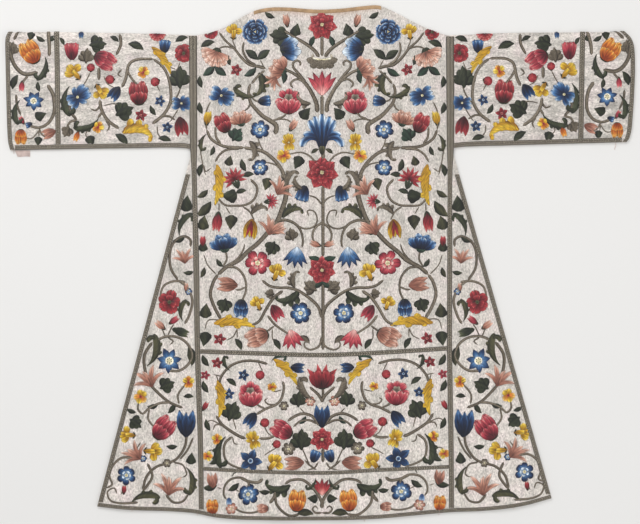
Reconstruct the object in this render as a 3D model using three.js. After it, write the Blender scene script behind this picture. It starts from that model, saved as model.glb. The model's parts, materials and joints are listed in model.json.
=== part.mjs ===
// A dalmatic laid flat with its back up: a wide vestment with straight sleeves and flared sides.
// The front lies on the ground as plain panels, the back lies on the front in soft ripples, each
// sleeve and its cuff are one cloth folded over at the top, and flat braid covers every seam and edge.
// Millimetres. +X is to the right as seen from above, +Y towards the neck, +Z up.
// The origin is on the ground, on the garment's centre line, half way up its length.
import * as THREE from "three";

// Cloth and braid
const CLOTH = 2.0; // embroidered silk, interlining and lining together
const GAP = 0.35; // clearance between pieces that touch
const LAY = 0.4; // air between the front layer and the back layer where they lie closest
const BRAID = 1.3; // thickness of the flat braid
const BRAID_GAP = 0.6; // clearance of a braid above the cloth it is sewn to
const CELL = 26; // widest step of a panel's grid
const COLUMNS = 21; // steps across the body, shared by its three panels

// Edges of the two braids that run down the body, over the sleeve seams and the side seams
const BANDS = [
  { y: 485, leftOut: -279, leftIn: -262.5, rightIn: 260, rightOut: 277 },
  { y: 252, leftOut: -277, leftIn: -262, rightIn: 262, rightOut: 277 },
  { y: 190, leftOut: -273.5, leftIn: -263, rightIn: 263.5, rightOut: 273.5 },
  { y: 0, leftOut: -270, leftIn: -258, rightIn: 263, rightOut: 273 },
  { y: -190, leftOut: -266.5, leftIn: -255.5, rightIn: 262.5, rightOut: 273 },
  { y: -380, leftOut: -260.5, leftIn: -249.5, rightIn: 265.5, rightOut: 276 },
  { y: -545, leftOut: -258, leftIn: -248, rightIn: 267, rightOut: 277 },
];

// Top edge of the body, from one sleeve seam over shoulder, neck and shoulder to the other
const TOP = [
  { x: -290, y: 476 },
  { x: -255, y: 479 },
  { x: -207, y: 493 },
  { x: -175, y: 512 },
  { x: -143, y: 528 },
  { x: -110, y: 535 },
  { x: -75, y: 535.5 },
  { x: -10, y: 531 },
  { x: 40, y: 533 },
  { x: 90, y: 538.5 },
  { x: 116, y: 540 },
  { x: 134, y: 535 },
  { x: 163, y: 521 },
  { x: 195, y: 504 },
  { x: 227, y: 490 },
  { x: 262, y: 478 },
  { x: 290, y: 476 },
];

// Hem, from the left corner to the right one
const HEM = [
  { x: -480, y: -510 },
  { x: -405, y: -518 },
  { x: -320, y: -521 },
  { x: -268, y: -525 },
  { x: -220, y: -534 },
  { x: -150, y: -539 },
  { x: 0, y: -540 },
  { x: 110, y: -537 },
  { x: 200, y: -529 },
  { x: 270, y: -523 },
  { x: 340, y: -520 },
  { x: 420, y: -510 },
  { x: 495, y: -490 },
];

// Centre lines of the two braids across the body
const WAIST = [
  { x: -270, y: -185 },
  { x: -120, y: -190 },
  { x: 0, y: -193 },
  { x: 120, y: -188 },
  { x: 280, y: -178 },
];
const BORDER = [
  { x: -270, y: -430 },
  { x: -120, y: -438 },
  { x: 10, y: -440 },
  { x: 120, y: -434 },
  { x: 280, y: -427 },
];
const WAIST_BRAID = 9;
const BORDER_BRAID = 7.5;
const HEM_BRAID = 8;

// Straight outer edges of the side gores, from underarm to hem corner
const GORES = {
  left: { top: { x: -273, y: 236 }, foot: { x: -472, y: -511 } },
  right: { top: { x: 273, y: 238 }, foot: { x: 482, y: -494 } },
};
const GORE_BRAID = 9.5;
const GORE_BRAID_TOP = 186; // the edge braid starts below here, where it clears the seam braid
const GORE_COLUMNS = 7;

// Sleeves. Each row is a section across the arm; rise is how much the fold at the top stands open
const SLEEVES = {
  left: {
    rows: [
      { x: -664, bottom: 236.5, top: 484, rise: 3.4 },
      { x: -555, bottom: 238.5, top: 484.5, rise: 3.2 },
      { x: -400, bottom: 241, top: 482, rise: 2.6 },
      { x: -300, bottom: 242, top: 479, rise: 1.0 },
      { x: -268, bottom: 238, top: 478, rise: 0.4 },
    ],
    cuffEdge: [
      { y: 236, x: -654 },
      { y: 256, x: -659 },
      { y: 330, x: -662 },
      { y: 455, x: -664.5 },
      { y: 474, x: -663 },
      { y: 484.5, x: -658 },
    ],
    cuffSeam: { foot: -553.5, head: -556.5 },
  },
  right: {
    rows: [
      { x: 268, bottom: 240, top: 478, rise: 0.4 },
      { x: 300, bottom: 244, top: 479, rise: 1.0 },
      { x: 400, bottom: 247, top: 483, rise: 2.6 },
      { x: 545, bottom: 251, top: 484, rise: 3.2 },
      { x: 656, bottom: 254, top: 486, rise: 3.4 },
    ],
    cuffEdge: [
      { y: 250, x: 636 },
      { y: 262, x: 645 },
      { y: 290, x: 650.5 },
      { y: 395, x: 656.5 },
      { y: 450, x: 655 },
      { y: 472, x: 648 },
      { y: 486, x: 634 },
    ],
    cuffSeam: { foot: 542.5, head: 546.5 },
  },
};
const FOLD_REACH = 75; // how far below the fold the sleeve lies back down
const FOLD_STEPS = 8; // steps round the fold
const UPPER_STEPS = 11; // steps from the lower edge up to the fold
const LOWER_STEPS = 6; // steps from the fold down the under layer
const CROWDING = 1.35; // how much these steps crowd towards the fold
const SLEEVE_COLUMNS = 10;
const CUFF_COLUMNS = 4;
const CUFF_BRAID = 9;
const CUFF_SEAM_BRAID = 10.5;
const UNDERARM_BRAID = 10;

// Neck: a narrow worn binding over the back edge; the front is cut as a scoop
const NECK = { left: -143, right: 124, depth: 7, drop: 3.2, steps: 18 };
const BINDING = 1.0;
const FRONT_NECK = { halfWidth: 105, depth: 95 };
const FRONT_INSET = 3; // the front panels stop this far inside the edges of the back
const FRONT_GORE_TOP = 215;
const FRONT_CLEAR = 0.8; // and this far from the seams between them

// A small tongue of plain cloth that shows under the left cuff
const TAB = { left: -645, right: -613, length: 12, slant: 5, thickness: 1.2 };

// Soft ripples in the back layer: centre, direction from +X, half length, half width and height
const RIPPLES = [
  { x: -372, y: -330, turn: 74, length: 190, width: 48, height: 4.2 },
  { x: -205, y: -420, turn: 93, length: 170, width: 52, height: 3.4 },
  { x: -85, y: -470, turn: 88, length: 130, width: 46, height: 2.6 },
  { x: 50, y: -440, turn: 91, length: 150, width: 50, height: 3.2 },
  { x: 172, y: -330, turn: 95, length: 210, width: 54, height: 3.8 },
  { x: 362, y: -380, turn: 104, length: 170, width: 48, height: 4.4 },
  { x: -170, y: 150, turn: 128, length: 130, width: 50, height: 3.0 },
  { x: 176, y: 128, turn: 50, length: 120, width: 48, height: 2.8 },
  { x: -60, y: 20, turn: 96, length: 220, width: 56, height: 2.4 },
  { x: 92, y: -60, turn: 84, length: 180, width: 52, height: 2.6 },
  { x: 4, y: 380, turn: 4, length: 150, width: 46, height: 2.2 },
  { x: -150, y: 400, turn: 32, length: 90, width: 46, height: 2.0 },
  { x: 160, y: 405, turn: 148, length: 90, width: 46, height: 2.2 },
  { x: -430, y: 352, turn: 6, length: 150, width: 46, height: 2.4 },
  { x: 440, y: 340, turn: 173, length: 140, width: 46, height: 2.8 },
  { x: 600, y: 372, turn: 88, length: 80, width: 46, height: 2.4 },
];

const material = (color, roughness, metalness) =>
  new THREE.MeshStandardMaterial({ color, roughness, metalness, side: THREE.DoubleSide });
const SILK = material(0xd6cec4, 0.55, 0.15);
const PLAIN_CLOTH = material(0xcfc0b8, 0.85, 0);
const SILVER_BRAID = material(0x7d7466, 0.5, 0.45);
const NECK_BINDING = material(0xb0906a, 0.7, 0.1);

const mix = (a, b, t) => a + (b - a) * t;
const clamp01 = (t) => Math.min(1, Math.max(0, t));
const ease = (t) => clamp01(t) ** 2 * (3 - 2 * clamp01(t));

// A smooth curve through the rows of a table, as a function of one column
function curve(rows, along, value) {
  const at = rows.map((row) => row[along]);
  const to = rows.map((row) => row[value]);
  const slope = at.map((_, i) => {
    const a = Math.max(0, i - 1);
    const b = Math.min(at.length - 1, i + 1);
    return (to[b] - to[a]) / (at[b] - at[a]);
  });
  return (x) => {
    let i = 0;
    while (i < at.length - 2 && x > at[i + 1]) i += 1;
    const span = at[i + 1] - at[i];
    const t = clamp01((x - at[i]) / span);
    const cube = t * t * t;
    const square = t * t;
    return (
      (2 * cube - 3 * square + 1) * to[i] +
      (cube - 2 * square + t) * span * slope[i] +
      (3 * square - 2 * cube) * to[i + 1] +
      (cube - square) * span * slope[i + 1]
    );
  };
}

const rising = (rows, key) => [...rows].sort((a, b) => a[key] - b[key]);
const bandRows = rising(BANDS, "y");
const leftOut = curve(bandRows, "y", "leftOut");
const leftIn = curve(bandRows, "y", "leftIn");
const rightIn = curve(bandRows, "y", "rightIn");
const rightOut = curve(bandRows, "y", "rightOut");
const leftSeam = (y) => (leftOut(y) + leftIn(y)) / 2;
const rightSeam = (y) => (rightOut(y) + rightIn(y)) / 2;
const topEdge = curve(TOP, "x", "y");
const hem = curve(HEM, "x", "y");
const waist = curve(WAIST, "x", "y");
const border = curve(BORDER, "x", "y");

const goreEdge = (side) => {
  const { top, foot } = GORES[side];
  return (y) => mix(foot.x, top.x, (y - foot.y) / (top.y - foot.y));
};

const sleeveShape = Object.fromEntries(
  Object.entries(SLEEVES).map(([side, { rows, cuffEdge, cuffSeam }]) => [
    side,
    {
      bottom: curve(rows, "x", "bottom"),
      top: curve(rows, "x", "top"),
      rise: curve(rows, "x", "rise"),
      cuffEdge: curve(cuffEdge, "y", "x"),
      cuffSeam: (y) => mix(cuffSeam.foot, cuffSeam.head, clamp01((y - 240) / 245)),
    },
  ]),
);
const sideOf = (x) => (x < 0 ? "left" : "right");

function ripples(x, y) {
  let height = 0;
  for (const ripple of RIPPLES) {
    const turn = THREE.MathUtils.degToRad(ripple.turn);
    const dx = x - ripple.x;
    const dy = y - ripple.y;
    const along = (dx * Math.cos(turn) + dy * Math.sin(turn)) / ripple.length;
    const across = (dy * Math.cos(turn) - dx * Math.sin(turn)) / ripple.width;
    height += ripple.height * Math.exp(-along * along - across * across);
  }
  return height;
}

// How far a sleeve's upper layer is lifted by the fold along its top edge
function foldRise(x, y) {
  if (y < 200 || (x > leftSeam(y) && x < rightSeam(y))) return 0;
  const shape = sleeveShape[sideOf(x)];
  return shape.rise(x) * ease(1 - (shape.top(x) - y) / FOLD_REACH);
}

// Underside and upper face of the back layer over any point of the garment
const underside = (x, y) => CLOTH + LAY + ripples(x, y) + foldRise(x, y);
const upperFace = (x, y) => underside(x, y) + CLOTH;

const group = new THREE.Group();

// A closed wall between two grids of points, outerAt(i, j) and innerAt(i, j)
function wall(name, rows, columns, outerAt, innerAt, finish) {
  const points = [];
  const width = columns + 1;
  const count = (rows + 1) * width;
  for (const pointAt of [outerAt, innerAt])
    for (let i = 0; i <= rows; i += 1)
      for (let j = 0; j <= columns; j += 1) points.push(...pointAt(i, j));
  const faces = [];
  const quad = (a, b, c, d) => faces.push(a, b, c, a, c, d);
  const outer = (i, j) => i * width + j;
  const inner = (i, j) => count + i * width + j;
  for (let i = 0; i < rows; i += 1)
    for (let j = 0; j < columns; j += 1) {
      quad(outer(i, j), outer(i, j + 1), outer(i + 1, j + 1), outer(i + 1, j));
      quad(inner(i, j), inner(i + 1, j), inner(i + 1, j + 1), inner(i, j + 1));
    }
  for (let j = 0; j < columns; j += 1) {
    quad(outer(0, j + 1), outer(0, j), inner(0, j), inner(0, j + 1));
    quad(outer(rows, j), outer(rows, j + 1), inner(rows, j + 1), inner(rows, j));
  }
  for (let i = 0; i < rows; i += 1) {
    quad(outer(i, 0), outer(i + 1, 0), inner(i + 1, 0), inner(i, 0));
    quad(outer(i + 1, columns), outer(i, columns), inner(i, columns), inner(i + 1, columns));
  }
  const geometry = new THREE.BufferGeometry();
  geometry.setAttribute("position", new THREE.Float32BufferAttribute(points, 3));
  geometry.setIndex(faces);
  geometry.computeVertexNormals();
  const mesh = new THREE.Mesh(geometry, finish);
  mesh.name = name;
  group.add(mesh);
}

// A place on a panel with sides left(y) and right(y) and ends bottom(x) and top(x)
function placeOn({ left, right, bottom, top }, u, v) {
  let y = mix(bottom(0), top(0), v);
  let x = mix(left(y), right(y), u);
  for (let turn = 0; turn < 4; turn += 1) {
    y = mix(bottom(x), top(x), v);
    x = mix(left(y), right(y), u);
  }
  return [x, y];
}

// A panel of the back layer
function panel(name, edges, rows, columns) {
  const at = (face) => (i, j) => {
    const [x, y] = placeOn(edges, j / columns, i / rows);
    return [x, y, face(x, y)];
  };
  wall(name, rows, columns, at(upperFace), at(underside), SILK);
}

const shifted = (edge, by) => (at) => edge(at) + by;
const stepsFor = (length) => Math.max(1, Math.ceil(length / CELL));

function backPanels() {
  const sides = { left: shifted(leftSeam, GAP / 2), right: shifted(rightSeam, -GAP / 2) };
  const joins = [
    { name: "back_panel", bottom: shifted(waist, GAP / 2), top: topEdge, length: 725 },
    {
      name: "back_apparel",
      bottom: shifted(border, GAP / 2),
      top: shifted(waist, -GAP / 2),
      length: 245,
    },
    { name: "back_border", bottom: hem, top: shifted(border, -GAP / 2), length: 95 },
  ];
  for (const { name, bottom, top, length } of joins)
    panel(name, { ...sides, bottom, top }, stepsFor(length), COLUMNS);
}

function backGores() {
  const rows = stepsFor(745);
  const top = (side) => () => GORES[side].top.y - 0.8;
  const left = goreEdge("left");
  const right = goreEdge("right");
  const leftSide = { left, right: shifted(leftSeam, -GAP / 2), bottom: hem, top: top("left") };
  const rightSide = { left: shifted(rightSeam, GAP / 2), right, bottom: hem, top: top("right") };
  panel("back_gore_left", leftSide, rows, GORE_COLUMNS);
  panel("back_gore_right", rightSide, rows, GORE_COLUMNS);
}

// A point of a folded sleeve. step runs from the upper layer's lower edge (0) up to the fold, round
// it and down the under layer; lift is measured outwards from the outer face
const SECTION_STEPS = UPPER_STEPS + FOLD_STEPS + LOWER_STEPS;
function sleevePoint(side, x, step, lift) {
  const { bottom, top } = sleeveShape[side];
  const radius = upperFace(x, top(x) - CLOTH * 2) / 2;
  const foldCentre = top(x) - radius;
  if (step < UPPER_STEPS) {
    const y = mix(foldCentre, bottom(x), (1 - step / UPPER_STEPS) ** CROWDING);
    return [y, upperFace(x, y) + lift];
  }
  if (step <= UPPER_STEPS + FOLD_STEPS) {
    const angle = Math.PI * (0.5 - (step - UPPER_STEPS) / FOLD_STEPS);
    const reach = radius + lift;
    return [foldCentre + reach * Math.cos(angle), radius + reach * Math.sin(angle)];
  }
  const down = (step - UPPER_STEPS - FOLD_STEPS) / LOWER_STEPS;
  return [mix(foldCentre, bottom(x), down ** CROWDING), -lift];
}

// A folded tube of cloth between two edges that are functions of y
function foldedSleeve(name, side, from, to, columns) {
  const at = (lift) => (i, j) => {
    let x = mix(from(360), to(360), j / columns);
    for (let turn = 0; turn < 4; turn += 1) {
      const [y] = sleevePoint(side, x, i, 0);
      x = mix(from(y), to(y), j / columns);
    }
    return [x, ...sleevePoint(side, x, i, lift)];
  };
  wall(name, SECTION_STEPS, columns, at(0), at(-CLOTH), SILK);
}

function sleeves() {
  const { left, right } = sleeveShape;
  const more = GAP / 2;
  const less = -GAP / 2;
  foldedSleeve("cuff_left", "left", left.cuffEdge, shifted(left.cuffSeam, less), CUFF_COLUMNS);
  foldedSleeve("cuff_right", "right", shifted(right.cuffSeam, more), right.cuffEdge, CUFF_COLUMNS);
  const leftEnds = [shifted(left.cuffSeam, more), shifted(leftSeam, less)];
  const rightEnds = [shifted(rightSeam, more), shifted(right.cuffSeam, less)];
  foldedSleeve("sleeve_left", "left", ...leftEnds, SLEEVE_COLUMNS);
  foldedSleeve("sleeve_right", "right", ...rightEnds, SLEEVE_COLUMNS);
}

// A flat piece of the front, lying on the ground, from its outline
function groundPiece(name, outline, thickness, finish) {
  const shape = new THREE.Shape(outline.map(([x, y]) => new THREE.Vector2(x, y)));
  const geometry = new THREE.ExtrudeGeometry(shape, { depth: thickness, bevelEnabled: false });
  const mesh = new THREE.Mesh(geometry, finish);
  mesh.name = name;
  group.add(mesh);
}

const along = (from, to, steps, pointAt) =>
  Array.from({ length: steps + 1 }, (_, i) => pointAt(mix(from, to, i / steps)));

function frontPanels() {
  const inner = FRONT_CLEAR;
  const neckline = (x) => {
    const share = clamp01(1 - (x / FRONT_NECK.halfWidth) ** 2);
    return topEdge(x) - FRONT_INSET - FRONT_NECK.depth * Math.sqrt(share);
  };
  const hemLine = (x) => hem(x) + FRONT_INSET;
  const side = (seam, by, from, to) => along(from, to, 14, (y) => [seam(y) + by, y]);
  const bottomLeft = hemLine(leftSeam(-525));
  const bottomRight = hemLine(rightSeam(-523));
  groundPiece(
    "front_panel",
    [
      ...side(leftSeam, inner, 474, bottomLeft),
      ...along(leftSeam(-525) + 25, rightSeam(-523) - 25, 14, (x) => [x, hemLine(x)]),
      ...side(rightSeam, -inner, bottomRight, 474),
      ...along(rightSeam(474) - 20, leftSeam(474) + 20, 50, (x) => [x, neckline(x)]),
    ],
    CLOTH,
    SILK,
  );
  for (const [name, seam, way] of [
    ["left", leftSeam, 1],
    ["right", rightSeam, -1],
  ]) {
    const edge = (y) => goreEdge(name)(y) + way * FRONT_INSET;
    const { foot } = GORES[name];
    const low = foot.y + FRONT_INSET;
    const corner = edge(low);
    const seamFoot = seam(low) - way * inner;
    groundPiece(
      `front_gore_${name}`,
      [
        ...along(FRONT_GORE_TOP, low, 6, (y) => [edge(y), y]),
        ...along(mix(corner, seamFoot, 0.2), mix(corner, seamFoot, 0.8), 4, (x) => [x, hemLine(x)]),
        ...along(hemLine(seamFoot), FRONT_GORE_TOP, 12, (y) => [seam(y) - way * inner, y]),
      ],
      CLOTH,
      SILK,
    );
  }
}

// A braid lying on the back layer between two edges, given as points for a share of its length
function braid(name, steps, edgeA, edgeB) {
  const across = 2;
  const at = (lift) => (i, j) => {
    const [ax, ay] = edgeA(i / steps);
    const [bx, by] = edgeB(i / steps);
    const x = mix(ax, bx, j / across);
    const y = mix(ay, by, j / across);
    return [x, y, upperFace(x, y) + lift];
  };
  wall(name, steps, across, at(BRAID_GAP + BRAID), at(BRAID_GAP), SILVER_BRAID);
}

function seamBraids() {
  const foot = -523 + HEM_BRAID + GAP;
  const sides = [
    { name: "seam_braid_left", a: leftOut, b: leftIn, head: 476.5, foot: foot - 2 },
    { name: "seam_braid_right", a: rightIn, b: rightOut, head: 475.5, foot: foot + 1 },
  ];
  for (const { name, a, b, head, foot: low } of sides) {
    const level = (t) => mix(low, head, t);
    const edge = (side) => (t) => [side(level(t)), level(t)];
    braid(name, stepsFor(head - low), edge(a), edge(b));
  }
}

function crossBraids() {
  const lines = [
    { name: "waist_braid", line: waist, width: WAIST_BRAID },
    { name: "border_braid", line: border, width: BORDER_BRAID },
  ];
  for (const { name, line, width } of lines) {
    const edge = (by) => (t) => {
      const from = leftIn(line(-260)) + GAP;
      const to = rightIn(line(260)) - GAP;
      const x = mix(from, to, t);
      return [x, line(x) + by];
    };
    braid(name, COLUMNS, edge(width / 2), edge(-width / 2));
  }
}

function hemBraid() {
  const from = GORES.left.foot.x + 0.5;
  const to = GORES.right.foot.x - 0.5;
  const slant = (by) => (t) => {
    const lean = mix(0.25, -0.28, t) * by;
    const x = mix(from + Math.max(0, lean), to - Math.max(0, -lean), t);
    return [x, hem(x) + by];
  };
  braid("hem_braid", 2 * stepsFor((to - from) / 2), slant(HEM_BRAID), slant(0.3));
}

function goreBraids() {
  for (const [name, way] of [
    ["left", 1],
    ["right", -1],
  ]) {
    const edge = goreEdge(name);
    const foot = GORES[name].foot.y + HEM_BRAID + 1.2;
    const level = (t) => mix(foot, GORE_BRAID_TOP, t);
    const outer = (t) => [edge(level(t)) + way * 0.3, level(t)];
    const inner = (t) => [edge(level(t)) + way * GORE_BRAID, level(t)];
    const steps = stepsFor(700);
    if (way > 0) braid(`gore_braid_${name}`, steps, outer, inner);
    else braid(`gore_braid_${name}`, steps, inner, outer);
  }
}

// A braid up the sleeve from its lower edge, over the fold and a little way down behind it
function risingBraid(name, side, edgeA, edgeB, firstRaise) {
  const across = 2;
  const steps = UPPER_STEPS + FOLD_STEPS / 2 + 1;
  const { bottom } = sleeveShape[side];
  const at = (lift) => (i, j) => {
    let x = mix(edgeA(360), edgeB(360), j / across);
    let y = 360;
    for (let turn = 0; turn < 4; turn += 1) {
      y = i === 0 ? bottom(x) + firstRaise : sleevePoint(side, x, i, 0)[0];
      x = mix(edgeA(y), edgeB(y), j / across);
    }
    if (i === 0) return [x, y, upperFace(x, y) + lift];
    return [x, ...sleevePoint(side, x, i, lift)];
  };
  wall(name, steps, across, at(BRAID_GAP + BRAID), at(BRAID_GAP), SILVER_BRAID);
}

function sleeveBraids() {
  for (const [side, way] of [
    ["left", 1],
    ["right", -1],
  ]) {
    const { bottom, cuffEdge, cuffSeam } = sleeveShape[side];
    const outer = shifted(cuffEdge, way * 0.3);
    const inner = shifted(cuffEdge, way * CUFF_BRAID);
    const seamA = shifted(cuffSeam, -CUFF_SEAM_BRAID / 2);
    const seamB = shifted(cuffSeam, CUFF_SEAM_BRAID / 2);
    const [cuffA, cuffB] = way > 0 ? [outer, inner] : [inner, outer];
    risingBraid(`cuff_braid_${side}`, side, cuffA, cuffB, 0.3);
    const clear = UNDERARM_BRAID + 0.3 + GAP;
    risingBraid(`cuff_seam_braid_${side}`, side, seamA, seamB, clear);
    const bandEdge = side === "left" ? leftOut : rightOut;
    const start = inner(bottom(inner(245))) + way * 2 * GAP;
    const end = bandEdge(245) - way * GAP;
    const [from, to] = way > 0 ? [start, end] : [end, start];
    const level = (by) => (t) => {
      const x = mix(from, to, t);
      return [x, bottom(x) + by];
    };
    braid(`underarm_braid_${side}`, SLEEVE_COLUMNS + CUFF_COLUMNS, level(UNDERARM_BRAID), level(0.3));
  }
}

// The neck binding lies along the back's neck edge and turns down over it
function neckBinding() {
  const profile = [
    { back: NECK.depth, turned: false },
    { back: NECK.depth / 2, turned: false },
    { back: 0, turned: false },
    { back: 0, turned: true },
  ];
  const at = (lift) => (i, j) => {
    const x = mix(NECK.left, NECK.right, j / NECK.steps);
    const { back, turned } = profile[i];
    const face = upperFace(x, topEdge(x) - back);
    const y = topEdge(x) - back + (back === 0 ? lift : 0);
    return [x, y, turned ? face - NECK.drop : face + lift];
  };
  const under = at(BRAID_GAP);
  wall("neck_binding", profile.length - 1, NECK.steps, at(BRAID_GAP + BINDING), under, NECK_BINDING);
}

function cuffTab() {
  const { bottom } = sleeveShape.left;
  const high = Math.min(bottom(TAB.left), bottom(TAB.right)) - GAP;
  const low = high - TAB.length;
  groundPiece(
    "cuff_tab",
    [
      [TAB.left, high],
      [TAB.left + TAB.slant, low],
      [TAB.right, low - 1],
      [TAB.right, high],
    ],
    TAB.thickness,
    PLAIN_CLOTH,
  );
}

backPanels();
backGores();
sleeves();
frontPanels();
seamBraids();
crossBraids();
hemBraid();
goreBraids();
sleeveBraids();
neckBinding();
cuffTab();

export default group;
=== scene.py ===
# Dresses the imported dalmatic: silver silk panels, metal-thread braid, couched silver scrolls and
# silk flowers, on the stage that it is looked at on. Laid out as an add-on, run as a script.
import json
import math

import bpy
import numpy as np
from bpy.props import FloatProperty, FloatVectorProperty, IntProperty, PointerProperty
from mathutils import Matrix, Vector

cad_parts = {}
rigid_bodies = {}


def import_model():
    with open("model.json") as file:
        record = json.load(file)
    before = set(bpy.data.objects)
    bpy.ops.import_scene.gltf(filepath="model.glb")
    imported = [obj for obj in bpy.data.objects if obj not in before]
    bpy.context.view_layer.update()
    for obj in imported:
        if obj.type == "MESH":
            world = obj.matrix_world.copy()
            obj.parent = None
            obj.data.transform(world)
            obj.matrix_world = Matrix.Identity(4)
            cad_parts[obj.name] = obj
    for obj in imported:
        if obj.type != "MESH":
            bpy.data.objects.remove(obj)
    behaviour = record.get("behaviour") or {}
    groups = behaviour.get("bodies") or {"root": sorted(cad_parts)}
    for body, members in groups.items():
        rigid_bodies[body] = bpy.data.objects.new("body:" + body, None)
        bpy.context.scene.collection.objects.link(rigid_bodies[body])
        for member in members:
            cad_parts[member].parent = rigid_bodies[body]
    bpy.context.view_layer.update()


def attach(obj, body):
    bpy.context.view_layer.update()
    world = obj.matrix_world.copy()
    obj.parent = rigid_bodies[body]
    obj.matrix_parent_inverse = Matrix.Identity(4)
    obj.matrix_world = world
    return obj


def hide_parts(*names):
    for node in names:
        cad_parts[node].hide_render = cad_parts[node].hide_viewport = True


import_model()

bl_info = {
    "name": "Laid dalmatic",
    "version": (1, 0, 0),
    "blender": (4, 5, 0),
    "location": "3D View > Sidebar > Dalmatic",
    "description": "Dresses a dalmatic laid flat with its silk, braid and embroidery",
    "category": "Object",
}

MM = 0.001
CLOTH = 2.0  # embroidered silk, interlining and lining together, as in the solids
GAP = 0.35  # between the edges of neighbouring panels
LAY = 0.4  # air between the front layer and the back layer
FRONT_INSET = 3.0  # the front panels stop this far inside the back's edges

# The cut, in millimetres, as in the solids. Seam braids: y, left outer, left inner, right inner, outer
BANDS = [
    (-545, -258, -248, 267, 277),
    (-380, -260.5, -249.5, 265.5, 276),
    (-190, -266.5, -255.5, 262.5, 273),
    (0, -270, -258, 263, 273),
    (190, -273.5, -263, 263.5, 273.5),
    (252, -277, -262, 262, 277),
    (485, -279, -262.5, 260, 277),
]
# Edges across the body: x, y
TOP = [
    (-290, 476), (-255, 479), (-207, 493), (-175, 512), (-143, 528), (-110, 535), (-75, 535.5),
    (-10, 531), (40, 533), (90, 538.5), (116, 540), (134, 535), (163, 521), (195, 504),
    (227, 490), (262, 478), (290, 476),
]
HEM = [
    (-480, -510), (-405, -518), (-320, -521), (-268, -525), (-220, -534), (-150, -539), (0, -540),
    (110, -537), (200, -529), (270, -523), (340, -520), (420, -510), (495, -490),
]
WAIST = [(-270, -185), (-120, -190), (0, -193), (120, -188), (280, -178)]
BORDER = [(-270, -430), (-120, -438), (10, -440), (120, -434), (280, -427)]
# Outer edges of the gores: x and y at the underarm, x and y at the hem corner
GORES = {"left": (-273, 236, -472, -511), "right": (273, 238, 482, -494)}
# Sleeves: x, lower edge, fold at the top, how much the fold stands open
SLEEVES = {
    "left": [
        (-664, 236.5, 484, 3.4), (-555, 238.5, 484.5, 3.2), (-400, 241, 482, 2.6),
        (-300, 242, 479, 1.0), (-268, 238, 478, 0.4),
    ],
    "right": [
        (268, 240, 478, 0.4), (300, 244, 479, 1.0), (400, 247, 483, 2.6),
        (545, 251, 484, 3.2), (656, 254, 486, 3.4),
    ],
}
# Open edges of the cuffs: y, x
CUFF_EDGES = {
    "left": [(236, -654), (256, -659), (330, -662), (455, -664.5), (474, -663), (484.5, -658)],
    "right": [
        (250, 636), (262, 645), (290, 650.5), (395, 656.5), (450, 655), (472, 648), (486, 634),
    ],
}
CUFF_SEAMS = {"left": (-553.5, -556.5), "right": (542.5, 546.5)}  # x at the foot and at the fold
FOLD_REACH = 75.0  # how far below the fold a sleeve lies back down
FOLD_TURN = 0.62  # share of the half turn round the fold that braid and embroidery go on for
SLEEVE_MIDDLE = 360.0  # y halfway up a sleeve
SLEEVE_HEIGHT = 240.0  # from a sleeve's lower edge to its fold
HEM_DEPTH = 520.0  # how far the hem lies below y = 0
FRONT_NECK = (105.0, 95.0)  # half width and depth of the front's scoop

# Ripples of the back layer: x, y, direction from +X, half length, half width, height
RIPPLES = [
    (-372, -330, 74, 190, 48, 4.2), (-205, -420, 93, 170, 52, 3.4), (-85, -470, 88, 130, 46, 2.6),
    (50, -440, 91, 150, 50, 3.2), (172, -330, 95, 210, 54, 3.8), (362, -380, 104, 170, 48, 4.4),
    (-170, 150, 128, 130, 50, 3.0), (176, 128, 50, 120, 48, 2.8), (-60, 20, 96, 220, 56, 2.4),
    (92, -60, 84, 180, 52, 2.6), (4, 380, 4, 150, 46, 2.2), (-150, 400, 32, 90, 46, 2.0),
    (160, 405, 148, 90, 46, 2.2), (-430, 352, 6, 150, 46, 2.4), (440, 340, 173, 140, 46, 2.8),
    (600, 372, 88, 80, 46, 2.4),
]
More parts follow.
